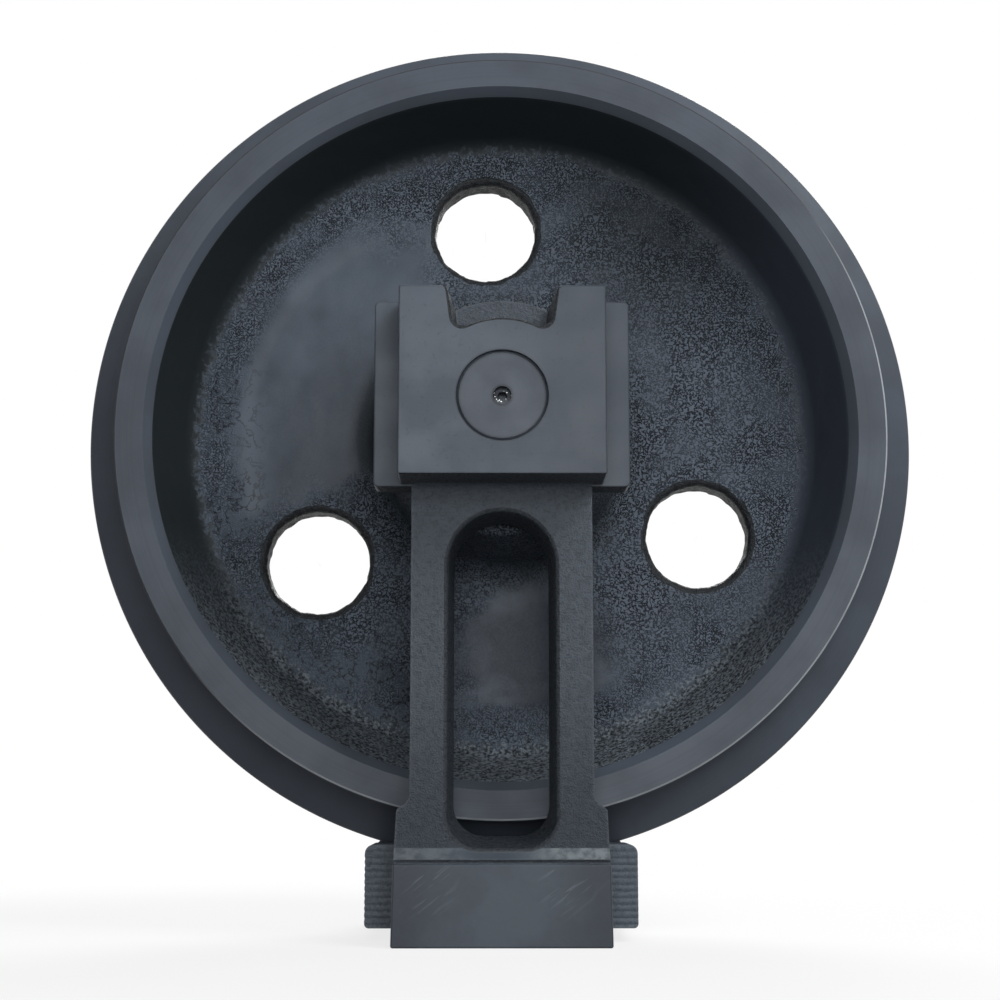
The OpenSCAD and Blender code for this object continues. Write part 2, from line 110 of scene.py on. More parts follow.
class ArmSkin(IntEnum):
    """Material slots of an arm."""

    MILLED = 0
    CAST = 1
    FOOT = 2
    LEDGE = 3
    NOTCH = 4
    SLOT = 5


class WheelSkin(IntEnum):
    """Material slots of the wheel."""

    TURNED = 0
    CAST = 1
    EDGE = 2
    HOLE = 3


def slate(red: int, green: int, blue: int) -> Colour:
    """Turns a colour as seen on a screen into the linear colour that shaders take.

    Args:
        red: Red, from 0 to 255.
        green: Green, from 0 to 255.
        blue: Blue, from 0 to 255.

    Returns:
        The linear colour with full cover.
    """
    full, toe, slope, lift, power = 255, 0.04045, 12.92, 0.055, 2.4
    shares = [part / full for part in (red, green, blue)]
    linear = [s / slope if s <= toe else ((s + lift) / (1 + lift)) ** power for s in shares]
    return (linear[0], linear[1], linear[2], 1.0)


class Graph:
    """A material's node tree, with short calls for the nodes that the finishes share."""

    def __init__(self, name: str) -> None:
        """Starts a material with its shader and its object coordinates.

        Args:
            name: Name of the material.
        """
        self.material = bpy.data.materials.new(name)
        self.material.use_nodes = True
        self.tree = self.material.node_tree
        self.shader = self.tree.nodes["Principled BSDF"]
        self.place = self.add("ShaderNodeTexCoord").outputs["Object"]

    def add(self, kind: str) -> bpy.types.Node:
        """Adds a node of some kind."""
        return self.tree.nodes.new(kind)

    def feed(self, socket: Socket, value: object) -> None:
        """Links a socket to another one, or sets it to a constant.

        Args:
            socket: Socket that takes the value.
            value: Another node's output, or a constant.
        """
        if isinstance(value, bpy.types.NodeSocket):
            self.tree.links.new(value, socket)
        else:
            socket.default_value = value

    def grain(self, scale: float, detail: float = 3.0, vector: Optional[Socket] = None,
              roughness: float = 0.55) -> Socket:
        """Adds soft random grain.

        Args:
            scale: Grains per metre.
            detail: Number of finer layers.
            vector: Place that the grain is read at, or none for the object's own place.
            roughness: Share of the finer layers.

        Returns:
            A value from 0 to 1, mostly near one half.
        """
        node = self.add("ShaderNodeTexNoise")
        self.feed(node.inputs["Vector"], vector or self.place)
        node.inputs["Scale"].default_value = scale
        node.inputs["Detail"].default_value = detail
        node.inputs["Roughness"].default_value = roughness
        return node.outputs[0]

    def step(self, value: Socket, low: float, high: float, start: float = 0.0, end: float = 1.0) -> Socket:
        """Maps a value smoothly from one range to another.

        Args:
            value: Value that is mapped.
            low: Value at which the result starts to change.
            high: Value at which the result stops changing.
            start: Result at or below the low value.
            end: Result at or above the high value.

        Returns:
            The mapped value.
        """
        node = self.add("ShaderNodeMapRange")
        node.interpolation_type = "SMOOTHSTEP"
        self.feed(node.inputs["Value"], value)
        for name, number in (("From Min", low), ("From Max", high), ("To Min", start), ("To Max", end)):
            node.inputs[name].default_value = number
        return node.outputs["Result"]

    def sum(self, operation: str, first: object, second: object) -> Socket:
        """Combines two values, or a value and a number.

        Args:
            operation: Name of the operation, such as MULTIPLY.
            first: First value.
            second: Second value.

        Returns:
            The combined value.
        """
        node = self.add("ShaderNodeMath")
        node.operation = operation
        self.feed(node.inputs[0], first)
        self.feed(node.inputs[1], second)
        return node.outputs[0]

    def times(self, first: object, second: object) -> Socket:
        """Multiplies two values."""
        return self.sum("MULTIPLY", first, second)

    def plus(self, first: object, second: object) -> Socket:
        """Adds two values."""
        return self.sum("ADD", first, second)

    def rest(self, share: Socket) -> Socket:
        """Gives what a share leaves over."""
        return self.sum("SUBTRACT", 1.0, share)

    def level(self, place: Socket, towards: Place) -> Socket:
        """Gives how far a place lies along a direction."""
        return self.vector("DOT_PRODUCT", place, towards).outputs["Value"]

    def apart(self, place: Socket, at: Place) -> Socket:
        """Gives how far a place lies from a point."""
        return self.vector("DISTANCE", place, at).outputs["Value"]

    def satin(self, smudges: Socket, roughness: float) -> Socket:
        """Makes paint a little rougher where it is smudged.

        Args:
            smudges: Grain of the smudges.
            roughness: Roughness of the paint.

        Returns:
            The roughness.
        """
        low, high, less, more = 0.3, 0.7, 0.05, 0.08
        return self.step(smudges, low, high, roughness - less, roughness + more)

    def blend(self, share: object, first: object, second: object) -> Socket:
        """Mixes two colours.

        Args:
            share: Share of the second colour.
            first: Colour at a share of 0.
            second: Colour at a share of 1.

        Returns:
            The mixed colour.
        """
        node = self.add("ShaderNodeMix")
        node.data_type = "RGBA"
        share_at, first_at, second_at, colour_at = 0, 6, 7, 2
        self.feed(node.inputs[share_at], share)
        self.feed(node.inputs[first_at], first)
        self.feed(node.inputs[second_at], second)
        return node.outputs[colour_at]

    def vector(self, operation: str, first: object, second: object) -> bpy.types.Node:
        """Combines two vectors.

        Args:
            operation: Name of the operation, such as SUBTRACT.
            first: First vector.
            second: Second vector.

        Returns:
            The node, whose output depends on the operation.
        """
        node = self.add("ShaderNodeVectorMath")
        node.operation = operation
        self.feed(node.inputs[0], first)
        self.feed(node.inputs[1], second)
        return node

    def from_axle(self) -> Socket:
        """Gives the place relative to the axle, flattened along it."""
        moved = self.vector("SUBTRACT", self.place, (0.0, 0.0, AXLE_H * MM)).outputs[0]
        return self.vector("MULTIPLY", moved, FLAT).outputs[0]

    def radius(self) -> Socket:
        """Gives the distance from the axle, in metres.

        Returns:
            The distance.
        """
        node = self.add("ShaderNodeVectorMath")
        node.operation = "LENGTH"
        self.feed(node.inputs[0], self.from_axle())
        return node.outputs["Value"]

    def turning(self, fine: float) -> Socket:
        """Adds the rings that a lathe tool leaves, on faces and on rims alike.

        Args:
            fine: Rings per metre.

        Returns:
            A value from 0 to 1.
        """
        rings = self.add("ShaderNodeCombineXYZ")
        self.feed(rings.inputs["X"], self.times(self.radius(), fine))
        split = self.add("ShaderNodeSeparateXYZ")
        self.feed(split.inputs[0], self.place)
        self.feed(rings.inputs["Y"], self.times(split.outputs["Y"], fine))
        layers = 2.0
        return self.grain(1.0, layers, rings.outputs[0])

    def furrows(self, scale: float, width: float, detail: float = 1.0) -> Socket:
        """Adds thin winding furrows, as in wrinkled paint.

        Args:
            scale: Furrows per metre.
            width: Width of a furrow, as a share of the grain's own range.
            detail: Number of finer layers.

        Returns:
            A value of 0 in the furrows and 1 beside them.
        """
        apart = self.sum("SUBTRACT", self.grain(scale, detail), HALF)
        return self.step(self.sum("ABSOLUTE", apart, 0.0), 0.0, width)

    def wear_and_shade_edges(self, reach: float) -> Socket:
        """Finds edges that stand proud or lie deep, for worn paint on some finishes and painted shade on
        others.

        Args:
            reach: Distance over which an edge counts, in metres.

        Returns:
            A value from 0 on flat faces to 1 on edges.
        """
        plain, bent, samples = 0.995, 0.86, 4
        rounder = self.add("ShaderNodeBevel")
        rounder.samples = samples
        rounder.inputs["Radius"].default_value = reach
        normal = self.add("ShaderNodeNewGeometry").outputs["Normal"]
        likeness = self.vector("DOT_PRODUCT", rounder.outputs[0], normal).outputs["Value"]
        return self.step(likeness, plain, bent)

    def relief(self, height: Socket, depth: float, strength: object,
               under: Optional[Socket] = None) -> Socket:
        """Turns a height into a bumpy normal.

        Args:
            height: Height from 0 to 1.
            depth: Height of the relief, in metres.
            strength: Share of the relief that shows.
            under: Normal that the relief lies on, or none for the plain one.

        Returns:
            The bumpy normal.
        """
        node = self.add("ShaderNodeBump")
        self.feed(node.inputs["Strength"], strength)
        node.inputs["Distance"].default_value = depth
        self.feed(node.inputs["Height"], height)
        if under is not None:
            self.feed(node.inputs["Normal"], under)
        return node.outputs[0]

    def finish(self, colour: object, roughness: object, normal: Optional[Socket] = None,
               metallic: float = 0.0, gloss: float = 0.25) -> bpy.types.Material:
        """Sets the shader's main sockets.

        Args:
            colour: Base colour.
            roughness: Roughness.
            normal: Normal, or none for the plain one.
            metallic: 1 for bare metal, and 0 for anything else.
            gloss: Level of plain reflections.

        Returns:
            The finished material.
        """
        self.feed(self.shader.inputs["Base Color"], colour)
        self.feed(self.shader.inputs["Roughness"], roughness)
        self.shader.inputs["Metallic"].default_value = metallic
        self.shader.inputs["Specular IOR Level"].default_value = gloss
        if normal is not None:
            self.feed(self.shader.inputs["Normal"], normal)
        return self.material


@dataclass(frozen=True)
class Mottle:
    """Soft grain whose middle values are spread over a range of their own."""

    scale: float
    layers: float
    low: float
    high: float
    start: float = 0.0
    end: float = 1.0

    def lay(self, graph: Graph, vector: Optional[Socket] = None) -> Socket:
        """Adds the grain to a material.

        Args:
            graph: The material's nodes.
            vector: Place that the grain is read at, or none for the object's own place.

        Returns:
            A value between the start and the end.
        """
        grain = graph.grain(self.scale, self.layers, vector)
        return graph.step(grain, self.low, self.high, self.start, self.end)


@dataclass(frozen=True)
class CastPaint:
    """Satin paint on a sand casting, whose sand grain shows through."""

    name: str
    high: Colour = slate(75, 82, 90)
    low: Colour = slate(63, 69, 76)
    shade: Colour = slate(34, 39, 48)
    edge: Colour = slate(104, 112, 118)
    lumps: float = 420.0
    sand: float = 1000.0
    layers: float = 2.0
    paint_range: Range = (0.34, 0.56)
    depth: float = 0.0016
    strength: float = 1.0
    roughness: float = 0.5
    rough_range: Range = (0.4, 0.6)
    rough_low: float = 0.1
    rough_high: float = -0.08
    wear: float = 0.4
    wear_reach: float = 0.0025
    gloss: float = 0.2
    # Painted shade: share of the shade colour that darkens the paint near the bottom, where less light
    # falls.
    dark_tone_and_shade: float = 0.0
    low_shade_range: Range = (0.16, 0.06)

    def make(self) -> bpy.types.Material:
        """Builds the material.

        Returns:
            The material.
        """
        graph = Graph(self.name)
        sand = graph.grain(self.sand, self.layers)
        lumps = graph.grain(self.lumps, self.layers)
        height = graph.plus(graph.times(sand, HALF), graph.times(lumps, HALF))
        paint = graph.blend(graph.step(height, *self.paint_range), self.low, self.high)
        # Painted shade: the paint turns towards the shade colour near the bottom, where less light falls.
        dark_tone_and_shade = graph.step(graph.level(graph.place, UP), *self.low_shade_range, 0.0, self.dark_tone_and_shade)
        paint = graph.blend(dark_tone_and_shade, paint, self.shade)
        wear = graph.times(graph.wear_and_shade_edges(self.wear_reach), self.wear)
        colour = graph.blend(wear, paint, self.edge)
        rough = graph.step(height, *self.rough_range, self.roughness + self.rough_low,
                           self.roughness + self.rough_high)
        return graph.finish(colour, rough, graph.relief(height, self.depth, self.strength), gloss=self.gloss)


@dataclass(frozen=True)
class WebPaint(CastPaint):
    """Paint on the web: smooth where it ran thick, wrinkled elsewhere, and dark up the rim's wall. The
    wrinkles carry a painted highlight and painted shade. The wall is partly a darker skin and partly painted
    shade, with painted light low down and to the right. The hub's root and the upper right carry painted
    shade.
    """

    high: Colour = slate(79, 88, 99)
    cloud: Colour = slate(63, 70, 79)
    clouds: Mottle = Mottle(13.0, 3.0, 0.38, 0.66)
    gloss: float = 0.1
    # Painted highlight on the wrinkles' crests, and painted shade in their pits and in the creases.
    crest_highlight: Colour = slate(101, 110, 122)
    pit_shade: Colour = slate(18, 20, 24)
    # The rim's wall: a darker casting skin, with painted shade inside the rim.
    wall: Colour = slate(36, 41, 44)
    wall_range: Range = (0.179, 0.188)
    wall_edge: Mottle = Mottle(260.0, 3.0, 0.3, 0.7, -0.003, 0.003)
    # Painted light: the rim's wall is lighter and bluer towards the wheel's right side.
    lit_right_wall: Colour = slate(58, 64, 74)
    lit_right_range: Range = (0.07, 0.18)
    # Painted light: the lower part of the rim's wall is lighter, with a gritty grain.
    lit_low_wall: Colour = slate(112, 121, 129)
    lit_low_wall_pit: Colour = slate(30, 33, 37)
    lit_low_range: Range = (-0.05, -0.15)
    grit: Mottle = Mottle(520.0, 3.0, 0.34, 0.68)
    smooth_at: Place = (-0.118, 0.0, 0.05)
    smooth_reach: float = 0.112
    smooth_core: float = 0.72
    smooth_rest: float = 0.05
    smooth_edge: Mottle = Mottle(16.0, 3.0, 0.2, 0.8, -0.03, 0.03)
    low_smooth_at: Place = (0.02, 0.0, -0.136)
    low_smooth_reach: float = 0.066
    low_smooth_core: float = 0.55
    low_smooth_rest: float = 0.08
    low_smooth_edge: Mottle = Mottle(40.0, 3.0, 0.2, 0.8, -0.01, 0.01)
    # Painted shade of the arm on the web below the hub.
    arm_shade: Colour = slate(34, 39, 48)
    arm_shade_core: float = 0.02
    arm_shade_share: float = 0.9
    arm_shade_edge: Mottle = Mottle(24.0, 3.0, 0.2, 0.8, -0.03, 0.03)
    band_range: Range = (0.156, 0.17)
    patches: Mottle = Mottle(34.0, 3.0, 0.36, 0.62, 0.5, 1.0)
    # Painted shade on the root of the hub.
    hub_shade_range: Range = (0.097, 0.083)
    hub_shade_share: float = 0.85
    # Painted shadow of the rim on the upper right of the web.
    painted_shadow_at: Place = (0.095, 0.0, 0.135)
    painted_shadow_reach: float = 0.11
    painted_shadow_share: float = 0.6
    creases: float = 130.0
    crease_width: float = 0.045
    crease_layers: float = 3.0
    creased_towards: Place = (-0.85, 0.0, -0.53)
    creased_range: Range = (0.085, 0.13)
    creased_share: float = 0.7
    creased_r: Range = (0.138, 0.158)
    creased_patches: Mottle = Mottle(30.0, 3.0, 0.34, 0.56, 0.25, 1.0)
    wrinkles: float = 560.0
    wrinkle_width: float = 0.11
    wrinkle_range: Range = (0.3, 0.8)
    wrinkle_share: float = 0.75
    sand: float = 1150.0
    depth: float = 0.0014
    strength: float = 1.0
    wear: float = 0.15
    wear_reach: float = 0.002
    rough_smooth: float = -0.14
    rough_coarse: float = 0.04
    swells: float = 38.0
    swell_depth: float = 0.0025
    swell_strength: float = 0.3

    def make(self) -> bpy.types.Material:
        """Builds the material.

        Returns:
            The material.
        """
        graph = Graph(self.name)
        radius = graph.radius()
        sand = graph.grain(self.sand, self.layers)
        beside = graph.furrows(self.wrinkles, self.wrinkle_width)
        height = graph.plus(graph.times(beside, HALF), graph.times(sand, HALF))
        wall = graph.step(graph.plus(radius, self.wall_edge.lay(graph)), *self.wall_range)
        # Share of the lower part, where the wall gets painted light.
        low = graph.step(graph.level(graph.from_axle(), UP), *self.lit_low_range)
        coarse = self.coarse(graph, radius, graph.times(wall, graph.rest(low)))
        skin = self.skin(graph, radius, wall, low)
        # The wrinkles' relief is shown with a painted highlight on the crests and painted shade in the pits.
        wrinkled = graph.blend(graph.step(height, *self.wrinkle_range), self.pit_shade, self.crest_highlight)
        wrinkled = graph.blend(wall, wrinkled, skin)
        paint = graph.blend(graph.times(coarse, self.wrinkle_share), skin, wrinkled)
        furrows = graph.furrows(self.creases, self.crease_width, self.crease_layers)
        # Painted shade in the creases.
        creases = graph.blend(furrows, self.pit_shade, self.high)
        paint = graph.blend(self.creased(graph, radius, wall), paint, creases)
        # Painted shadow of the rim on the upper right of the web.
        away = graph.apart(graph.from_axle(), self.painted_shadow_at)
        paint = graph.blend(graph.step(away, self.painted_shadow_reach, 0.0, 0.0, self.painted_shadow_share), paint, self.wall)
        wear = graph.times(graph.wear_and_shade_edges(self.wear_reach), self.wear)
        colour = graph.blend(wear, paint, self.edge)
        rough = graph.step(coarse, 0.0, 1.0, self.roughness + self.rough_smooth,
                           self.roughness + self.rough_coarse)
        normal = graph.relief(height, self.depth, graph.times(coarse, self.strength))
        swells = graph.grain(self.swells, 1.0)
        normal = graph.relief(swells, self.swell_depth, self.swell_strength, normal)
        return graph.finish(colour, rough, normal, gloss=self.gloss)

    def skin(self, graph: Graph, radius: Socket, wall: Socket, low: Socket) -> Socket:
        """Colours the smooth paint, with painted shade where the arm's slot shows it, the rim's wall, with
        painted light on its lower and right parts, and the root of the hub, with painted shade.

        Args:
            graph: The material's nodes.
            radius: Distance from the axle.
            wall: Share of the rim's wall.
            low: Share of the wheel's lower part.

        Returns:
            The colour.
        """
        skin = graph.blend(self.clouds.lay(graph), self.high, self.cloud)
        # Painted shade of the arm on the smooth patch below the hub.
        below = graph.apart(graph.from_axle(), self.low_smooth_at)
        below = graph.plus(below, self.arm_shade_edge.lay(graph))
        near = graph.step(below, self.low_smooth_reach, self.arm_shade_core, 0.0, self.arm_shade_share)
        skin = graph.blend(near, skin, self.arm_shade)
        # Painted light on the lower part of the rim's wall, over a gritty grain.
        gritty = graph.blend(self.grit.lay(graph), self.lit_low_wall_pit, self.lit_low_wall)
        # Painted light on the right part of the rim's wall.
        right = graph.step(graph.level(graph.from_axle(), ACROSS), *self.lit_right_range)
        plain = graph.blend(right, self.wall, self.lit_right_wall)
        skin = graph.blend(wall, skin, graph.blend(low, plain, gritty))
        # Painted shade on the root of the hub.
        return graph.blend(graph.step(radius, *self.hub_shade_range, 0.0, self.hub_shade_share), skin, self.wall)

    def creased(self, graph: Graph, radius: Socket, wall: Socket) -> Socket:
        """Tells where the paint ran thick and dried in creases.

        Args:
            graph: The material's nodes.
            radius: Distance from the axle.
            wall: Share of the rim's wall.

        Returns:
            The share of creased paint.
        """
        towards = graph.level(graph.from_axle(), self.creased_towards)
        near = graph.step(towards, *self.creased_range, 0.0, self.creased_share)
        outer = graph.times(graph.step(radius, *self.creased_r), graph.rest(wall))
        return graph.times(graph.times(near, self.creased_patches.lay(graph)), outer)

    def coarse(self, graph: Graph, radius: Socket, smooth_wall: Socket) -> Socket:
        """Tells how wrinkled the paint is.

        Args:
            graph: The material's nodes.
            radius: Distance from the axle.
            smooth_wall: Share of the smooth wall.

        Returns:
            A value from 0 where the paint is smooth to 1 where it is wrinkled.
        """
        away = graph.plus(graph.apart(graph.from_axle(), self.smooth_at), self.smooth_edge.lay(graph))
        core = self.smooth_reach * self.smooth_core
        far = graph.step(away, core, self.smooth_reach, self.smooth_rest, 1.0)
        below = graph.apart(graph.from_axle(), self.low_smooth_at)
        below = graph.plus(below, self.low_smooth_edge.lay(graph))
        low_core = self.low_smooth_reach * self.low_smooth_core
        far_below = graph.step(below, low_core, self.low_smooth_reach, self.low_smooth_rest, 1.0)
        far = graph.sum("MINIMUM", far, far_below)
        band = graph.step(radius, *self.band_range)
        rough = graph.times(graph.sum("MAXIMUM", far, band), self.patches.lay(graph))
        return graph.times(rough, graph.rest(smooth_wall))


@dataclass(frozen=True)
class MilledPaint:
    """Thin satin paint on a milled face, with faint cutter lines and soft smudges."""

    name: str
    clean: Colour = slate(81, 89, 99)
    smudge: Colour = slate(74, 81, 90)
    smudges: float = 32.0
    smudge_layers: float = 4.0
    smudge_range: Range = (0.35, 0.68)
    # Painted shade: the paint darkens towards the right side, where more light falls.
    right_shade: Colour = slate(63, 70, 79)
    right_shade_range: Range = (-0.02, 0.05)
    right_shade_share: float = 0.75
    speck: Colour = slate(52, 56, 63)
    specks: Mottle = Mottle(420.0, 2.0, 0.60, 0.72)
    speck_share: float = 0.25
    # Painted shade along the edges and round the bore.
    edge: Colour = slate(34, 37, 43)
    edge_reach: float = 0.0016
    edge_share: float = 0.75
    lines: float = 700.0
    line_layers: float = 2.0
    line_stretch: Place = (0.12, 1.0, 1.0)
    line_depth: float = 0.00012
    line_strength: float = 0.5
    roughness: float = 0.46
    gloss: float = 0.2

    def make(self) -> bpy.types.Material:
        """Builds the material.

        Returns:
            The material.
        """
        graph = Graph(self.name)
        smudges = graph.grain(self.smudges, self.smudge_layers)
        paint = graph.blend(graph.step(smudges, *self.smudge_range), self.clean, self.smudge)
        # Painted shade: darker towards the right side, where more light falls.
        right_shade = graph.step(graph.level(graph.place, ACROSS), *self.right_shade_range, 0.0, self.right_shade_share)
        paint = graph.blend(right_shade, paint, self.right_shade)
        paint = graph.blend(graph.times(self.specks.lay(graph), self.speck_share), paint, self.speck)
        # Painted shade along the edges.
        edges = graph.times(graph.wear_and_shade_edges(self.edge_reach), self.edge_share)
        colour = graph.blend(edges, paint, self.edge)
        stretched = graph.vector("MULTIPLY", graph.place, self.line_stretch).outputs[0]
        lines = graph.grain(self.lines, self.line_layers, stretched)
        normal = graph.relief(lines, self.line_depth, self.line_strength)
        return graph.finish(colour, graph.satin(smudges, self.roughness), normal, gloss=self.gloss)


@dataclass(frozen=True)
class TurnedPaint:
    """Thin satin paint on a turned face, with the lathe's rings under it."""

    name: str
    clean: Colour = slate(76, 83, 93)
    smudge: Colour = slate(69, 75, 84)
    smudges: float = 24.0
    smudge_layers: float = 4.0
    smudge_range: Range = (0.35, 0.68)
    edge: Colour = slate(98, 106, 115)
    edge_share: float = 0.3
    edge_reach: float = 0.0015
    # Painted shade on the flange band towards the lower left.
    flange_shade: Colour = slate(48, 52, 60)
    flange_shade_share: float = 0.0
    flange_shade_range: Range = (0.02, 0.22)
    flange_shade_r: Range = (0.2275, 0.229)
    flange_shade_towards: Place = (-0.71, 0.0, -0.71)
    groove: Colour = slate(60, 65, 74)
    groove_range: Range = (0.5, 0.75)
    groove_share: float = 0.22
    groove_depth: float = 0.0002
    groove_strength: float = 0.45
    rings: float = 900.0
    roughness: float = 0.45
    gloss: float = 0.2

    def make(self) -> bpy.types.Material:
        """Builds the material.

        Returns:
            The material.
        """
        graph = Graph(self.name)
        rings = graph.turning(self.rings)
        smudges = graph.grain(self.smudges, self.smudge_layers)
        paint = graph.blend(graph.step(smudges, *self.smudge_range), self.clean, self.smudge)
        grooves = graph.step(rings, *self.groove_range, 0.0, self.groove_share)
        paint = graph.blend(grooves, paint, self.groove)
        # Painted shade on the flange band towards the lower left.
        towards = graph.level(graph.from_axle(), self.flange_shade_towards)
        flange_shade = graph.times(graph.step(graph.radius(), *self.flange_shade_r),
                            graph.step(towards, *self.flange_shade_range, 0.0, self.flange_shade_share))
        paint = graph.blend(flange_shade, paint, self.flange_shade)
        edges = graph.times(graph.wear_and_shade_edges(self.edge_reach), self.edge_share)
        colour = graph.blend(edges, paint, self.edge)
        normal = graph.relief(rings, self.groove_depth, self.groove_strength)
        return graph.finish(colour, graph.satin(smudges, self.roughness), normal, gloss=self.gloss)


@dataclass(frozen=True)
class LitTreadEdge:
    """The treads' outer edge: a painted highlight along one side of the wheel, and painted shade along the
    other.
    """

    name: str
    # Painted highlight on the edge towards the lower right, and painted shade elsewhere.
    bright: Colour = slate(170, 176, 182)
    dark: Colour = slate(30, 33, 40)
    towards: Place = (0.6, 0.0, -0.8)
    highlight_range: Range = (-0.02, 0.1)
    highlight_patches: Mottle = Mottle(40.0, 3.0, 0.2, 0.5, 0.55, 1.0)
    shaded_roughness: float = 0.55
    highlight_roughness: float = 0.35

    def make(self) -> bpy.types.Material:
        """Builds the material.

        Returns:
            The material.
        """
        graph = Graph(self.name)
        across = graph.level(graph.from_axle(), self.towards)
        # Painted highlight towards the lower right, painted shade elsewhere.
        rubbed_and_lit = graph.times(graph.step(across, *self.highlight_range), self.highlight_patches.lay(graph))
        rough = graph.step(rubbed_and_lit, 0.0, 1.0, self.shaded_roughness, self.highlight_roughness)
        return graph.finish(graph.blend(rubbed_and_lit, self.dark, self.bright), rough)


@dataclass(frozen=True)
class ScratchedPaint:
    """Paint on the feet, scuffed by slings and floors."""

    name: str
    clean: Colour = slate(62, 69, 78)
    smudge: Colour = slate(75, 83, 91)
    smudges: float = 28.0
    smudge_layers: float = 4.0
    smudge_range: Range = (0.38, 0.66)
    scratch: Colour = slate(118, 126, 133)
    scratches: Mottle = Mottle(520.0, 1.0, 0.58, 0.68)
    scratch_share: float = 0.5
    scratch_lean: float = -38.0
    scratch_stretch: Place = (9.0, 1.0, 1.0)
    scratched_at: tuple[Place, Place] = ((-0.044, 0.0, 0.034), (0.036, 0.0, 0.036))
    scratch_reach: float = 0.026
    # Light colour of worn paint on edges; on the ledge it is also painted light.
    rubbed_and_lit: Colour = slate(120, 128, 132)
    dark: Colour = slate(40, 45, 53)
    dark_range: Range = (0.022, 0.056)
    dark_share: float = 0.6
    worn_and_lit_left: float = 0.0
    worn_and_lit_right: float = 0.0
    worn_and_lit_from: float = 0.008
    worn_and_lit_to: float = 0.034
    spots: Mottle = Mottle(170.0, 4.0, 0.36, 0.62, 0.3, 1.0)
    edge_reach: float = 0.0015
    edge_share: float = 0.45
    dents: float = 240.0
    dent_layers: float = 3.0
    dent_depth: float = 0.0003
    dent_strength: float = 0.3
    rough_range: Range = (0.3, 0.7)
    roughness: Range = (0.4, 0.52)
    gloss: float = 0.2

    def scratched(self, graph: Graph) -> Socket:
        """Gives the leaning scratches, gathered round two places.

        Args:
            graph: The material's nodes.

        Returns:
            The share of scratched paint.
        """
        leaning = graph.add("ShaderNodeMapping")
        leaning.vector_type = "TEXTURE"
        leaning.inputs["Rotation"].default_value = (0.0, math.radians(self.scratch_lean), 0.0)
        leaning.inputs["Scale"].default_value = self.scratch_stretch
        graph.feed(leaning.inputs["Vector"], graph.place)
        flat = graph.vector("MULTIPLY", graph.place, FLAT).outputs[0]
        away = [graph.apart(flat, at) for at in self.scratched_at]
        left, right = [graph.step(distance, self.scratch_reach, 0.0) for distance in away]
        return graph.times(self.scratches.lay(graph, leaning.outputs[0]), graph.sum("MAXIMUM", left, right))

    def make(self) -> bpy.types.Material:
        """Builds the material.

        Returns:
            The material.
        """
        graph = Graph(self.name)
        smudges = graph.grain(self.smudges, self.smudge_layers)
        paint = graph.blend(graph.step(smudges, *self.smudge_range), self.clean, self.smudge)
        paint = graph.blend(graph.times(self.scratched(graph), self.scratch_share), paint, self.scratch)
        across = graph.level(graph.place, ACROSS)
        outward = graph.sum("ABSOLUTE", across, 0.0)
        outer = graph.step(outward, *self.dark_range, 0.0, self.dark_share)
        paint = graph.blend(outer, paint, self.dark)
        # On the ledge: worn paint and painted light from above, stronger on the right.
        left = graph.step(across, -self.worn_and_lit_from, -self.worn_and_lit_to, 0.0, self.worn_and_lit_left)
        right = graph.step(across, self.worn_and_lit_from, self.worn_and_lit_to, 0.0, self.worn_and_lit_right)
        spots = graph.times(self.spots.lay(graph), graph.sum("MAXIMUM", left, right))
        edges = graph.times(graph.wear_and_shade_edges(self.edge_reach), self.edge_share)
        colour = graph.blend(graph.sum("MAXIMUM", edges, spots), paint, self.rubbed_and_lit)
        dents = graph.grain(self.dents, self.dent_layers)
        normal = graph.relief(dents, self.dent_depth, self.dent_strength)
        rough = graph.step(smudges, *self.rough_range, *self.roughness)
        return graph.finish(colour, rough, normal, gloss=self.gloss)


@dataclass(frozen=True)
class BareMetal:
    """Bare metal with fine lathe rings."""

    name: str
    colour: Colour
    dark_tone_and_shade: Colour
    roughness: float = 0.3
    rings: float = 1600.0
    tones: Mottle = Mottle(120.0, 3.0, 0.35, 0.65)
    # Painted glints: bright flecks in the colour.
    glint: Colour = slate(190, 196, 190)
    glint_share: float = 0.0
    glints: float = 900.0
    glint_range: Range = (0.64, 0.7)
    ring_range: Range = (0.3, 0.7)
    rough_less: float = 0.06
    rough_more: float = 0.1
    ring_depth: float = 0.0001
    ring_strength: float = 0.4

    def make(self) -> bpy.types.Material:
        """Builds the material.

        Returns:
            The material.
        """
        graph = Graph(self.name)
        rings = graph.turning(self.rings)
        tone = graph.blend(self.tones.lay(graph), self.colour, self.dark_tone_and_shade)
        # Painted glints.
        glints = graph.step(graph.grain(self.glints, 1.0), *self.glint_range, 0.0, self.glint_share)
        tone = graph.blend(glints, tone, self.glint)
        rough = graph.step(rings, *self.ring_range, self.roughness - self.rough_less,
                           self.roughness + self.rough_more)
        return graph.finish(tone, rough, graph.relief(rings, self.ring_depth, self.ring_strength), 1.0)


@dataclass(frozen=True)
class SealRubber:
    """Matt moulded rubber with a faint bloom."""

    name: str
    black: Colour = slate(30, 31, 33)
    bloom: Colour = slate(58, 58, 60)
    blooms: Mottle = Mottle(70.0, 4.0, 0.45, 0.75, 0.0, 0.5)
    roughness: Range = (0.6, 0.8)
    pores: float = 900.0
    pore_depth: float = 0.0001
    pore_strength: float = 0.3

    def make(self) -> bpy.types.Material:
        """Builds the material.

        Returns:
            The material.
        """
        graph = Graph(self.name)
        blooms = self.blooms.lay(graph)
        normal = graph.relief(graph.grain(self.pores), self.pore_depth, self.pore_strength)
        rough = graph.step(blooms, self.blooms.start, self.blooms.end, *self.roughness)
        return graph.finish(graph.blend(blooms, self.black, self.bloom), rough, normal)


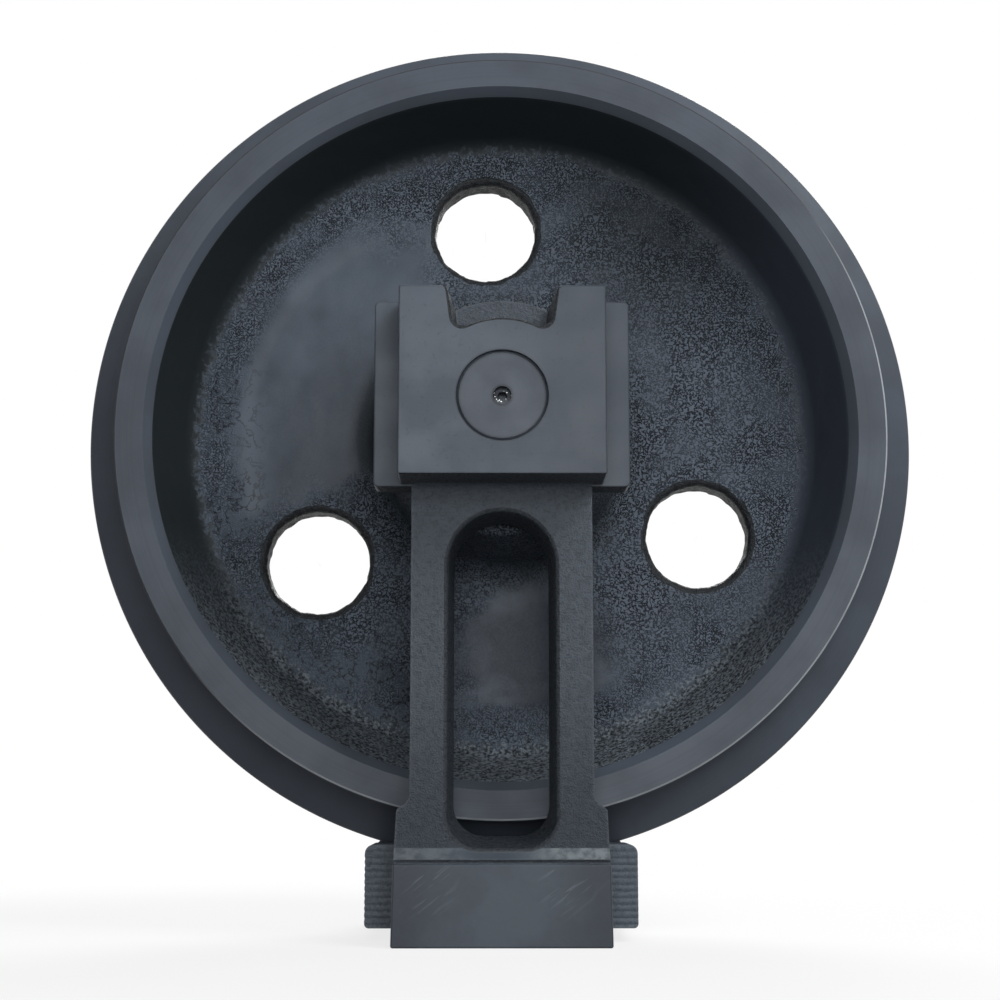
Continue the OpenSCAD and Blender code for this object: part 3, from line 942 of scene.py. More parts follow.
def arc(centre: Point, radius: float, start: float, end: float, count: int) -> list[Point]:
    """Gives points along an arc.

    Args:
        centre: Centre of the arc.
        radius: Radius of the arc.
        start: Angle of the first point, in degrees.
        end: Angle of the last point, in degrees.
        count: Number of points, both ends included.

    Returns:
        The points in order.
    """
    angles = [math.radians(start + (end - start) * i / (count - 1)) for i in range(count)]
    return [(centre[0] + radius * math.cos(a), centre[1] + radius * math.sin(a)) for a in angles]


def ring(bm: BMesh, outline: Sequence[Point], y: float) -> list[BMEdge]:
    """Draws a closed outline in the front view.

    Args:
        bm: Mesh that gets the outline.
        outline: Points as across and up.
        y: Place along the axle.

    Returns:
        The outline's edges.
    """
    verts = [bm.verts.new((across, y, up)) for across, up in outline]
    return [bm.edges.new((verts[i - 1], verts[i])) for i in range(len(verts))]


def lofted(sections: Sequence[tuple[float, Sequence[Point]]]) -> BMesh:
    """Makes a closed solid through outlines that stand one behind the other.

    Args:
        sections: Place along the axle and outline of each section, all with as many points.

    Returns:
        The solid.
    """
    bm = bmesh.new()
    rings = [ring(bm, outline, y) for y, outline in sections]
    for near, far in zip(rings, rings[1:]):
        bmesh.ops.bridge_loops(bm, edges=near + far)
    for end in (rings[0], rings[-1]):
        bmesh.ops.contextual_create(bm, geom=end)
    bmesh.ops.recalc_face_normals(bm, faces=bm.faces)
    return bm


def swept_across(outline: Sequence[Point], half_width: float) -> BMesh:
    """Makes a solid from an outline in the side view, as wide as the part.

    Args:
        outline: Points as place along the axle and height.
        half_width: Reach to each side.

    Returns:
        The solid.
    """
    bm = bmesh.new()
    face = bm.faces.new([bm.verts.new((-half_width, along, up)) for along, up in outline])
    grown = bmesh.ops.extrude_face_region(bm, geom=[face])["geom"]
    bmesh.ops.translate(bm, verts=[g for g in grown if isinstance(g, BMVert)], vec=(2 * half_width, 0, 0))
    bmesh.ops.recalc_face_normals(bm, faces=bm.faces)
    return bm


def round_corner(bm: BMesh, vert: BMVert, radius: float, segments: int) -> None:
    """Rounds one corner of a flat section.

    Args:
        bm: Mesh that holds the section.
        vert: The corner.
        radius: Radius of the round.
        segments: Number of steps in the round.
    """
    ways = [(edge.other_vert(vert).co - vert.co).normalized() for edge in vert.link_edges]
    reach = radius / math.tan(ways[0].angle(ways[1]) / 2)
    bmesh.ops.bevel(bm, geom=[vert], offset=reach, offset_type="OFFSET", affect="VERTICES",
                    segments=segments, profile=0.5, material=-1)


def spun(corners: Sequence[tuple[float, float, float]], steps: int, longest: float = FAR,
         rough: Range = (0.0, FAR)) -> BMesh:
    """Turns a closed section about the axle.

    Args:
        corners: Radius, place along the axle and round of each corner.
        steps: Number of steps in a full turn.
        longest: Longest straight stretch of the section that isn't divided.
        rough: Least and largest radius of the stretches that are divided.

    Returns:
        The turned solid, with its axle at the origin's height.
    """
    bm = bmesh.new()
    verts = [bm.verts.new((radius, along, 0)) for radius, along, _ in corners]
    section = bm.faces.new(verts)
    for vert, (_, _, rounding) in zip(verts, corners):
        if rounding:
            round_corner(bm, vert, rounding, ROUND_STEPS)
    bmesh.ops.delete(bm, geom=list(bm.faces), context="FACES_ONLY")
    for edge in list(bm.edges):
        cuts = int(edge.calc_length() / longest)
        if cuts and all(rough[0] <= vert.co.x <= rough[1] for vert in edge.verts):
            bmesh.ops.subdivide_edges(bm, edges=[edge], cuts=cuts)
    bmesh.ops.spin(bm, geom=bm.verts[:] + bm.edges[:], cent=(0, 0, 0), axis=(0, 1, 0), dvec=(0, 0, 0),
                   angle=math.tau, steps=steps, use_merge=True)
    bmesh.ops.remove_doubles(bm, verts=bm.verts, dist=MERGE)
    bmesh.ops.recalc_face_normals(bm, faces=bm.faces)
    return bm


def raise_to_axle(bm: BMesh) -> BMesh:
    """Lifts a turned solid from the origin to the axle."""
    bmesh.ops.translate(bm, verts=bm.verts, vec=(0, 0, AXLE_H))
    return bm


def eased(share: float) -> float:
    """Eases a share from 0 to 1 in and out."""
    return share * share * (3 - 2 * share)


def limited(share: float) -> float:
    """Keeps a share between 0 and 1."""
    return min(1.0, max(0.0, share))


def round_edges(bm: BMesh, pick: Callable[[Vector, Vector], bool], radius: float,
                segments: int = 3) -> BMesh:
    """Rounds the edges that a test picks.

    Args:
        bm: The solid.
        pick: Test of an edge's two ends.
        radius: Width of the round.
        segments: Number of steps in the round.

    Returns:
        The same solid.
    """
    edges = [edge for edge in bm.edges if pick(edge.verts[0].co, edge.verts[1].co)]
    bmesh.ops.bevel(bm, geom=edges, offset=radius, offset_type="OFFSET", affect="EDGES", segments=segments,
                    profile=0.5, material=-1, clamp_overlap=True)
    return bm


def paint_faces(bm: BMesh, skin: int) -> BMesh:
    """Gives all faces one material slot.

    Args:
        bm: The solid.
        skin: Number of the slot.

    Returns:
        The same solid.
    """
    for face in bm.faces:
        face.material_index = skin
    return bm


def loose_object(name: str, bm: BMesh, materials: Sequence[bpy.types.Material]) -> bpy.types.Object:
    """Makes an object from a mesh under construction and frees the latter.

    Args:
        name: Name of the object.
        bm: Mesh under construction, in millimetres.
        materials: Material slots of the object.

    Returns:
        The object, in millimetres.
    """
    mesh = bpy.data.meshes.new(name)
    bm.to_mesh(mesh)
    bm.free()
    for material in materials:
        mesh.materials.append(material)
    piece = bpy.data.objects.new(name, mesh)
    bpy.context.scene.collection.objects.link(piece)
    return piece


def upright_rod(place: Place, radius: float, height: float, segments: int) -> BMesh:
    """Makes a round upright rod.

    Args:
        place: Middle of the rod.
        radius: Radius of the rod.
        height: Height of the rod.
        segments: Number of sides.

    Returns:
        The solid.
    """
    bm = bmesh.new()
    bmesh.ops.create_cone(bm, cap_ends=True, segments=segments, radius1=radius, radius2=radius, depth=height)
    bmesh.ops.translate(bm, verts=bm.verts, vec=place)
    return bm


def gathered(parts: Sequence[BMesh]) -> BMesh:
    """Puts several meshes into one and frees them.

    Args:
        parts: The meshes.

    Returns:
        The mesh with all of them.
    """
    whole = bmesh.new()
    for bm in parts:
        mesh = bpy.data.meshes.new("part")
        bm.to_mesh(mesh)
        bm.free()
        whole.from_mesh(mesh)
        bpy.data.meshes.remove(mesh)
    return whole


def carve(piece: bpy.types.Object, others: Sequence[bpy.types.Object], operation: str) -> None:
    """Joins other solids to a piece or cuts them from it, and removes them.

    Args:
        piece: The piece that changes.
        others: Solids that are used up.
        operation: UNION or DIFFERENCE.
    """
    for other in others:
        tool = piece.modifiers.new("carve", "BOOLEAN")
        tool.operation = operation
        tool.solver = "EXACT"
        tool.object = other
        bpy.context.view_layer.update()
        solved = piece.evaluated_get(bpy.context.evaluated_depsgraph_get())
        mesh = bpy.data.meshes.new_from_object(solved)
        piece.modifiers.remove(tool)
        piece.data = mesh
        bpy.data.objects.remove(other)


def finish_piece(piece: bpy.types.Object, body: Body, nodes: Sequence[str],
                 sharp: float = 32.0) -> bpy.types.Object:
    """Brings a piece to metres, cleans and shades it, and hands it to the frame.

    Args:
        piece: The piece, in millimetres.
        body: Body that it rides on.
        nodes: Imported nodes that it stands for.
        sharp: Angle in degrees above which an edge shows as sharp.

    Returns:
        The same piece.
    """
    bm = bmesh.new()
    bm.from_mesh(piece.data)
    bmesh.ops.remove_doubles(bm, verts=bm.verts, dist=CLEAN)
    bmesh.ops.dissolve_degenerate(bm, edges=bm.edges, dist=CLEAN)
    bmesh.ops.scale(bm, verts=bm.verts, vec=(MM, MM, MM))
    bm.to_mesh(piece.data)
    bm.free()
    piece.data.shade_smooth()
    piece.data.set_sharp_from_angle(angle=math.radians(sharp))
    level = piece.modifiers.new("level_faces", "WEIGHTED_NORMAL")
    level.keep_sharp = True
    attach(piece, body.value)
    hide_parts(*nodes)
    LOG.info("%s: %d faces", piece.name, len(piece.data.polygons))
    return piece


@dataclass
class IdlerWheel:
    """The cast wheel, with turned treads and flange and three holes in its rough web."""

    flange_r: float = 250.0
    tread_r: float = 227.5
    rim_half: float = 56.0
    tip_half: float = 12.5
    base_half: float = 24.0
    rim_bore_r: float = 205.5
    rim_root_r: float = 188.0
    rim_chamfer: float = 5.0
    edge_break: float = 1.0
    tread_round: float = 4.0
    flange_round: float = 3.0
    web_half: float = 11.5
    hub_end: float = 74.0
    hub_floor: float = 65.2
    hub_r: float = 65.9
    hub_root_r: float = 76.9
    hub_bore_r: float = 30.1
    housing_r: float = 50.9
    housing_round: float = 0.8
    hub_round: float = 3.0
    hub_fillet: float = 14.0
    rim_fillet: float = 13.0
    hole_r: float = 31.0
    hole_circle_r: float = 133.0
    hole_count: int = 3
    hole_turn: float = 4.0
    hole_round: float = 4.0
    hole_reach: float = 30.0
    hole_step: float = 4.0
    lip_steps: int = 6
    ragged: float = 0.7
    ragged_pitch: float = 7.0
    ragged_fine: float = 0.6
    ragged_fine_pitch: float = 3.0
    ragged_shift: float = 40.0
    swell: float = 0.4
    swell_pitch: float = 24.0
    skin: float = 0.22
    skin_pitch: float = 5.0
    rim_keep: float = 1.0
    rim_fade: float = 6.0
    hub_keep: float = 4.0
    hub_fade: float = 8.0
    streak: float = 0.5
    streak_count: float = 30.0
    streak_twist: float = 45.0
    crumple: float = 1.1
    crumple_pitch: float = 8.0
    crumple_middle: float = 0.6
    crumple_least: float = 0.12
    crumple_power: int = 3
    crumple_towards: Place = (-0.85, 0.0, -0.53)
    band_r: float = 172.0
    band_half: float = 22.0
    ridge_r: float = 150.0
    ridge_wander: float = 9.0
    ridge_turns: float = 2.0
    ridge_width: float = 7.0
    ridge_fade: float = 14.0
    ridge: float = 0.9
    zone_slack: float = 0.2
    steps: int = 360
    cast_step: float = 3.0

    def section(self) -> list[tuple[float, float, float]]:
        """Gives the wheel's section, from the rear side's bore round to the front side's.

        Returns:
            Radius, place along the axle and round of each corner.
        """
        lip = self.rim_half - self.rim_chamfer
        rear = [
            (self.hub_bore_r, self.hub_floor, 0),
            (self.housing_r, self.hub_floor, 0),
            (self.housing_r, self.hub_end, self.housing_round),
            (self.hub_r, self.hub_end, self.hub_round),
            (self.hub_root_r, self.web_half, self.hub_fillet),
            (self.rim_root_r, self.web_half, self.rim_fillet),
            (self.rim_bore_r, lip, 0),
            (self.rim_bore_r + self.rim_chamfer, self.rim_half, 0),
            (self.tread_r - self.edge_break, self.rim_half, 0),
            (self.tread_r, self.rim_half - self.edge_break, 0),
            (self.tread_r, self.base_half, self.tread_round),
            (self.flange_r, self.tip_half, self.flange_round),
        ]
        return rear + [(radius, -along, rounding) for radius, along, rounding in reversed(rear)]

    def zone(self, place: Vector) -> WheelSkin:
        """Tells which finish a face has.

        Args:
            place: Middle of the face, with the axle at the origin.

        Returns:
            The finish.
        """
        radius = math.hypot(place.x, place.z)
        depth = self.rim_half - abs(place.y)
        if radius < self.rim_bore_r - self.zone_slack:
            return WheelSkin.CAST
        if depth < self.edge_break and radius > self.tread_r - self.edge_break:
            return WheelSkin.EDGE
        return WheelSkin.TURNED

    def roughen(self, bm: BMesh) -> None:
        """Gives the cast faces the swells and the coarse skin of the mould.

        Args:
            bm: The turned wheel, with its axle at the origin.
        """
        bm.normal_update()
        for vert in bm.verts:
            radius = math.hypot(vert.co.x, vert.co.z)
            inside = limited((self.rim_bore_r - self.rim_keep - radius) / self.rim_fade)
            outside = limited((radius - self.hub_r + self.hub_keep) / self.hub_fade)
            lift = self.swell * noise.noise(vert.co / self.swell_pitch)
            lift += self.skin * noise.noise(vert.co / self.skin_pitch)
            lift += self.band_lift(vert.co, radius)
            vert.co += vert.normal * lift * inside * outside

    def band_lift(self, place: Vector, radius: float) -> float:
        """Gives the height of the band round the web, where the mould's sand stuck and left streaks.

        Args:
            place: A point of the web, with the axle at the origin.
            radius: Its distance from the axle.

        Returns:
            The height over the plain web.
        """
        way = Vector((place.x, math.copysign(1.0, place.y), place.z)) / max(radius, 1.0)
        outward = Vector((way.x, 0, way.z))
        near = max(0.0, 1.0 - abs(radius - self.band_r) / self.band_half)
        twist = Vector((0, radius / self.streak_twist, 0))
        streaks = self.streak * near * noise.noise(outward * self.streak_count + twist)
        facing = max(0.0, outward.dot(Vector(self.crumple_towards)))
        folds = self.crumple_middle - 2 * abs(noise.noise(place / self.crumple_pitch))
        streaks += self.crumple * near * (self.crumple_least + facing ** self.crumple_power) * folds
        start = self.ridge_r + self.ridge_wander * noise.noise(way * self.ridge_turns)
        share = limited((radius - start) / self.ridge_width)
        fade = limited((self.rim_root_r - radius) / self.ridge_fade)
        return streaks + self.ridge * eased(share) * fade

    def hole_cutters(self) -> BMesh:
        """Makes the three spools that cut the web holes with rounded, slightly ragged rims.

        Returns:
            The cutters.
        """
        spools: list[BMesh] = []
        wall = self.web_half - self.hole_round
        for i in range(self.hole_count):
            lip = arc((self.hole_r + self.hole_round, -wall), self.hole_round, 270, 180, self.lip_steps)
            mouth = (self.hole_r + self.hole_round, -self.hole_reach)
            half = [(CORE_R, -self.hole_reach), mouth, *lip]
            outline = half + [(across, -along) for across, along in reversed(half)]
            spool = spun([(across, along, 0) for across, along in outline], TURN_STEPS, self.hole_step)
            for vert in spool.verts:
                out = Vector((vert.co.x, 0, vert.co.z))
                if out.length > self.hole_r / 2:
                    vary = noise.noise(vert.co / self.ragged_pitch + Vector((0, 0, self.ragged_shift * i)))
                    vary += self.ragged_fine * noise.noise(vert.co / self.ragged_fine_pitch)
                    vert.co += out.normalized() * self.ragged * vary
            angle = math.tau * i / self.hole_count - math.radians(self.hole_turn)
            offset = (self.hole_circle_r * math.sin(angle), 0, self.hole_circle_r * math.cos(angle))
            bmesh.ops.translate(spool, verts=spool.verts, vec=offset)
            spools.append(spool)
        return paint_faces(gathered(spools), WheelSkin.HOLE)

    def build(self) -> bpy.types.Object:
        """Models and dresses the wheel.

        Returns:
            The wheel.
        """
        bm = spun(self.section(), self.steps, self.cast_step, (self.hub_r - 1, self.rim_bore_r))
        for face in bm.faces:
            face.material_index = self.zone(face.calc_center_median())
        self.roughen(bm)
        finishes = [
            # The turned faces get painted shade on the flange's lower left.
            TurnedPaint("wheel_turned_paint", flange_shade_share=0.7).make(),
            WebPaint("wheel_cast_paint").make(),
            # The treads' edge gets a painted highlight and painted shade.
            LitTreadEdge("wheel_tread_edge").make(),
            # Painted shade on the walls of the web holes.
            CastPaint("wheel_hole_shade_paint", high=slate(32, 36, 40), low=slate(16, 18, 21), wear=0.1).make(),
        ]
        wheel = loose_object("cast_wheel", raise_to_axle(bm), finishes)
        holes = loose_object("web_holes", raise_to_axle(self.hole_cutters()), finishes)
        carve(wheel, [holes], "DIFFERENCE")
        return finish_piece(wheel, Body.WHEEL, ["idler_wheel"])


@dataclass
class SlottedArm:
    """One arm of the yoke: guide block and wings, boss, slotted leg and foot. Drawn for the rear side."""

    side: Side
    arm_back: float = 79.0
    leg_front: float = 113.0
    foot_front: float = 120.0
    wing_back: float = 94.0
    wing_front: float = 114.0
    block_front: float = 149.5
    boss_end: float = 104.0
    thrust_face: float = 70.5
    seal_floor: float = 87.8
    bore_r: float = 25.03
    collar_r: float = 36.05
    housing_r: float = 50.9
    boss_r: float = 63.9
    block_half: float = 56.25
    wing_half: float = 71.25
    block_low: float = 250.0
    wing_low: float = 248.5
    block_top: float = 354.0
    notch_half: float = 30.0
    notch_lean: float = 2.5
    notch_edge: float = 1.4
    notch_draft: float = 4.0
    notch_fillet: float = 7.0
    notch_r: float = 43.0
    notch_clear: float = 4.0
    notch_behind: float = 2.0
    edge_turns: tuple[int, ...] = (0, 25, 50, 75, 90)
    floor_steps: int = 8
    fillet_steps: int = 7
    ear_start: float = 88.0
    ear_steps: int = 6
    ear_round: float = 3.5
    milled_edge: float = 1.0
    wing_corner: float = 3.0
    block_corner: float = 1.2
    corner_steps: int = 4
    edge_steps: int = 2
    block_sink: float = 6.0
    underside: float = -0.9
    leg_half: float = 50.0
    leg_round: float = 3.0
    leg_sink: float = 0.2
    foot_half: float = 58.0
    foot_lip: float = 0.4
    foot_flare: float = 0.9
    foot_h: float = 45.0
    foot_edge: float = 1.2
    crease: float = 1.0
    crease_gap: float = 0.2
    lip_back: float = 1.5
    lip_up: float = 1.2
    ledge_sink: float = 5.0
    ledge_top: float = 52.0
    shoulder_top: float = 73.0
    shoulder_half: float = 57.0
    shoulder_round: float = 3.0
    neck_round: float = 7.0
    neck_steps: int = 6
    slot_half: float = 29.5
    slot_draft: float = 3.0
    sill_rise: float = 6.0
    slot_corner: float = 17.0
    slot_round_at: float = 205.5
    slot_edge: float = 2.2
    slot_corner_steps: int = 8
    slot_round_steps: int = 25
    mouth_turns: tuple[int, ...] = (0, 30, 60, 90)
    mouth_clear: float = 20.0
    back_clear: float = 3.0
    back_flare: float = 1.4
    boss_round: float = 2.5
    bore_sink: float = 5.0
    bore_clear: float = 0.5
    pin_r: float = 6.03
    pin_place: float = 131.75
    pin_rise: float = 3.0
    pin_steps: int = 32
    root_fillet: float = 6.0
    root_steps: int = 7

    def notch_outline(self, moved_in: float) -> list[Point]:
        """Gives the space between the ears, from above the right ear to above the left one.

        Args:
            moved_in: How far each wall is moved towards the middle.

        Returns:
            Points as across and up.
        """
        top = self.block_top - AXLE_H
        floor_r = self.notch_r + min(moved_in, 0.0)
        down = Vector((-self.notch_lean, self.notch_r - top)).normalized()
        inward = Vector((down.y, -down.x))
        corner = Vector((self.notch_half - moved_in, top))
        start = corner + inward * self.notch_fillet
        drop = start.dot(down)
        reach = math.sqrt(drop * drop - start.length_squared + (floor_r + self.notch_fillet) ** 2)
        centre = start - down * (drop + reach)
        wall = math.degrees(math.atan2(-inward.y, -inward.x))
        touch = math.degrees(math.atan2(-centre.y, -centre.x))
        ear_turn = Vector((1, 0)).angle(down)
        ear_centre = (corner.x + self.ear_round / math.tan(ear_turn / 2), top - self.ear_round)
        right = [(ear_centre[0], top + self.ear_round)]
        right += arc(ear_centre, self.ear_round, self.ear_start, wall + 180, self.ear_steps)
        right += arc(tuple(centre), self.notch_fillet, wall, touch, self.fillet_steps)
        right += arc((0, 0), floor_r, touch + 180, 90, self.floor_steps)[1:]
        points = right + [(-across, up) for across, up in reversed(right[:-1])]
        return [(across, AXLE_H + up) for across, up in points]

    def notch_cutter(self) -> BMesh:
        """Makes the cutter of the drafted space between the ears, flared for a round front edge.

        Returns:
            The cutter.
        """
        depth = self.block_front - self.wing_back
        sections = [(self.block_front + self.notch_clear, self.notch_outline(-self.notch_edge))]
        for angle in map(math.radians, self.edge_turns):
            inward = self.notch_edge * math.sin(angle)
            sunk = self.notch_edge * (1 - math.cos(angle)) + NEAR * inward
            sections.append((self.block_front - sunk, self.notch_outline(inward - self.notch_edge)))
        behind = self.wing_back - self.notch_behind
        sections.append((behind, self.notch_outline(self.notch_draft * (self.block_front - behind) / depth)))
        return paint_faces(lofted(sections), ArmSkin.NOTCH)

    def slab(self, half: float, low: float, front: float, back: float, corner: float) -> BMesh:
        """Makes the guide block or the wings without the notch, with soft edges.

        Args:
            half: Reach to each side.
            low: Height of the lower edge.
            front: Place of the front face along the axle.
            back: Place of the back face along the axle.
            corner: Round of the corners in the front view.

        Returns:
            The solid.
        """
        bm = bmesh.new()
        bmesh.ops.create_cube(bm, size=1)
        bmesh.ops.scale(bm, verts=bm.verts, vec=(2 * half, front - back, self.block_top - low))
        bmesh.ops.translate(bm, verts=bm.verts, vec=(0, (front + back) / 2, (self.block_top + low) / 2))
        middle = (front + back) / 2
        round_edges(bm, lambda a, b: abs(a.y - b.y) > 1, corner, self.corner_steps)
        round_edges(bm, lambda a, b: min(a.y, b.y) > middle, self.milled_edge, self.edge_steps)
        paint_faces(bm, ArmSkin.MILLED)
        # Undersides get the notch's finish, a painted shade under the block and the wings.
        for face in bm.faces:
            if face.normal.z < self.underside:
                face.material_index = ArmSkin.NOTCH
        return bm

    def leg(self) -> BMesh:
        """Makes the leg with its shoulders, without the slot.

        Returns:
            The solid.
        """
        step = self.shoulder_half - self.leg_half
        turn_up = self.shoulder_top + step / 2
        bm = bmesh.new()
        right = [(self.foot_half, self.foot_h - 1, 0), (self.foot_half, self.ledge_top, 0),
                 (self.shoulder_half, self.shoulder_top, self.shoulder_round),
                 (self.leg_half, turn_up, self.neck_round),
                 (self.leg_half, AXLE_H, 0)]
        outline = right + [(-across, up, rounding) for across, up, rounding in reversed(right)]
        verts = [bm.verts.new((across, self.leg_front, up)) for across, up, _ in outline]
        face = bm.faces.new(verts)
        for vert, (_, _, rounding) in zip(verts, outline):
            if rounding:
                round_corner(bm, vert, rounding, self.neck_steps)
        grown = bmesh.ops.extrude_face_region(bm, geom=list(bm.faces))["geom"]
        thick = self.arm_back + self.leg_sink - self.leg_front
        bmesh.ops.translate(bm, verts=[g for g in grown if isinstance(g, BMVert)], vec=(0, thick, 0))
        bmesh.ops.recalc_face_normals(bm, faces=bm.faces)

        def side_edge(a: Vector, b: Vector) -> bool:
            """Tells whether an edge bounds the front face beside the slot."""
            in_front = max(abs(a.y - self.leg_front), abs(b.y - self.leg_front)) < NEAR
            return in_front and min(a.z, b.z) > self.foot_h and abs(a.z - b.z) > MERGE

        round_edges(bm, side_edge, self.leg_round)
        return paint_faces(bm, ArmSkin.CAST)

    def slot_outline(self, y: float, grow: float) -> list[Point]:
        """Gives the slot's outline at some depth.

        Args:
            y: Place along the axle.
            grow: Growth of the outline all round.

        Returns:
            Points as across and up.
        """
        share = (self.leg_front - y) / (self.leg_front - self.arm_back)
        half = self.slot_half - self.slot_draft * share
        corner = self.slot_corner
        sill = self.ledge_top + self.sill_rise * share
        low_right = (half - corner, sill + corner)
        low_left = (corner - half, sill + corner)
        return (arc(low_right, corner + grow, -90, 0, self.slot_corner_steps)
                + arc((0, self.slot_round_at), half + grow, 0, 180, self.slot_round_steps)
                + arc(low_left, corner + grow, 180, 270, self.slot_corner_steps))

    def slot_cutter(self) -> BMesh:
        """Makes the tunnel that cuts the slot, flared at both mouths so that their edges come out round.

        Returns:
            The cutter.
        """
        sections = [(self.leg_front + self.mouth_clear, self.slot_outline(self.leg_front, self.slot_edge))]
        for turn in self.mouth_turns:
            angle = math.radians(turn)
            rise = self.slot_edge * math.sin(angle)
            place = self.leg_front - self.slot_edge + self.slot_edge * math.cos(angle)
            sections.append((place, self.slot_outline(place, self.slot_edge - rise)))
        place = self.arm_back + self.slot_edge
        sections.append((place, self.slot_outline(place, 0)))
        place = self.arm_back - self.back_clear
        sections.append((place, self.slot_outline(place, self.slot_edge * self.back_flare)))
        return paint_faces(lofted(sections), ArmSkin.SLOT)

    def foot(self) -> BMesh:
        """Makes the foot, whose sides flare to its underside.

        Returns:
            The solid.
        """
        top = self.foot_h - self.crease
        top_half = self.foot_half + self.foot_lip
        low_half = top_half + self.foot_flare
        outline = [(-low_half, 0), (low_half, 0), (top_half, top), (-top_half, top)]
        bm = lofted([(self.foot_front, outline), (self.arm_back, outline)])
        round_edges(bm, lambda a, b: max(a.y, b.y) > self.leg_front, self.foot_edge)
        return paint_faces(bm, ArmSkin.FOOT)

    def ledge(self) -> BMesh:
        """Makes the sloping ledge over the foot, undercut a little so that a crease shows below it.

        Returns:
            The solid.
        """
        low = self.foot_h - self.ledge_sink
        lip = self.foot_front - self.lip_back
        under = lip - self.crease
        bm = swept_across([(self.arm_back, low), (under, low), (under, self.foot_h - self.crease_gap),
                           (lip, self.foot_h + self.lip_up), (self.leg_front, self.ledge_top),
                           (self.arm_back, self.ledge_top)], self.foot_half)
        paint_faces(bm, ArmSkin.CAST)
        for face in bm.faces:
            middle = face.calc_center_median()
            if middle.z > self.foot_h + 1 and middle.y > self.leg_front and abs(middle.x) < 1:
                face.material_index = ArmSkin.LEDGE
        return bm

    def boss(self) -> BMesh:
        """Makes the boss with the seal's housing and the thrust collar.

        Returns:
            The solid.
        """
        core = self.bore_r - self.bore_sink
        bm = spun([(core, self.thrust_face, 0), (self.collar_r, self.thrust_face, 0),
                   (self.collar_r, self.seal_floor, 0), (self.housing_r, self.seal_floor, 0),
                   (self.housing_r, self.arm_back, 0), (self.boss_r, self.arm_back, self.boss_round),
                   (self.boss_r, self.boss_end, 0), (core, self.boss_end, 0)], TURN_STEPS)
        return paint_faces(raise_to_axle(bm), ArmSkin.CAST)

    def root(self) -> BMesh:
        """Makes the hollow fillet where the leg runs into the guide block's underside.

        Returns:
            The solid.
        """
        size = self.root_fillet
        hollow = arc((self.leg_front + size, self.block_low - size), size, 180, 90, self.root_steps)
        inner = [(self.leg_front + size, self.block_low + 1), (self.leg_front - 1, self.block_low + 1),
                 (self.leg_front - 1, self.block_low - size)]
        return paint_faces(swept_across(hollow + inner, self.leg_half - 1), ArmSkin.CAST)

    def bores(self) -> list[BMesh]:
        """Makes the cutters of the shaft's bore and of the lock pin's hole.

        Returns:
            The two cutters.
        """
        near, far = self.thrust_face - self.bore_sink, self.block_front + self.bore_clear
        shaft = spun([(CORE_R, near, 0), (self.bore_r, near, 0), (self.bore_r, far, 0), (CORE_R, far, 0)],
                     TURN_STEPS)
        height = self.notch_r + self.pin_rise
        pin = upright_rod((0, self.pin_place, AXLE_H + height / 2), self.pin_r, height, self.pin_steps)
        return [paint_faces(raise_to_axle(shaft), ArmSkin.MILLED), paint_faces(pin, ArmSkin.MILLED)]

    def build(self, finishes: Sequence[bpy.types.Material]) -> bpy.types.Object:
        """Models and dresses the arm.

        Args:
            finishes: Materials of the arm's slots.

        Returns:
            The arm.
        """
        name = f"{self.side.name.lower()}_arm"
        block_back = self.wing_back + self.block_sink
        wings = self.slab(self.wing_half, self.wing_low, self.wing_front, self.wing_back, self.wing_corner)
        block = self.slab(self.block_half, self.block_low, self.block_front, block_back, self.block_corner)
        solids = [self.foot(), self.ledge(), self.root(), wings, block]
        piece = loose_object(f"slotted_{name}", self.leg(), finishes)
        carve(piece, [loose_object("solid", bm, finishes) for bm in solids], "UNION")
        carve(piece, [loose_object("notch", self.notch_cutter(), finishes)], "DIFFERENCE")
        carve(piece, [loose_object("boss", self.boss(), finishes)], "UNION")
        cutters = [self.slot_cutter(), *self.bores()]
        carve(piece, [loose_object("cutter", bm, finishes) for bm in cutters], "DIFFERENCE")
        if self.side is Side.FRONT:
            piece.data.transform(Matrix.Diagonal((1, -1, 1, 1)))
            piece.data.flip_normals()
        return finish_piece(piece, Body.YOKE, [name])


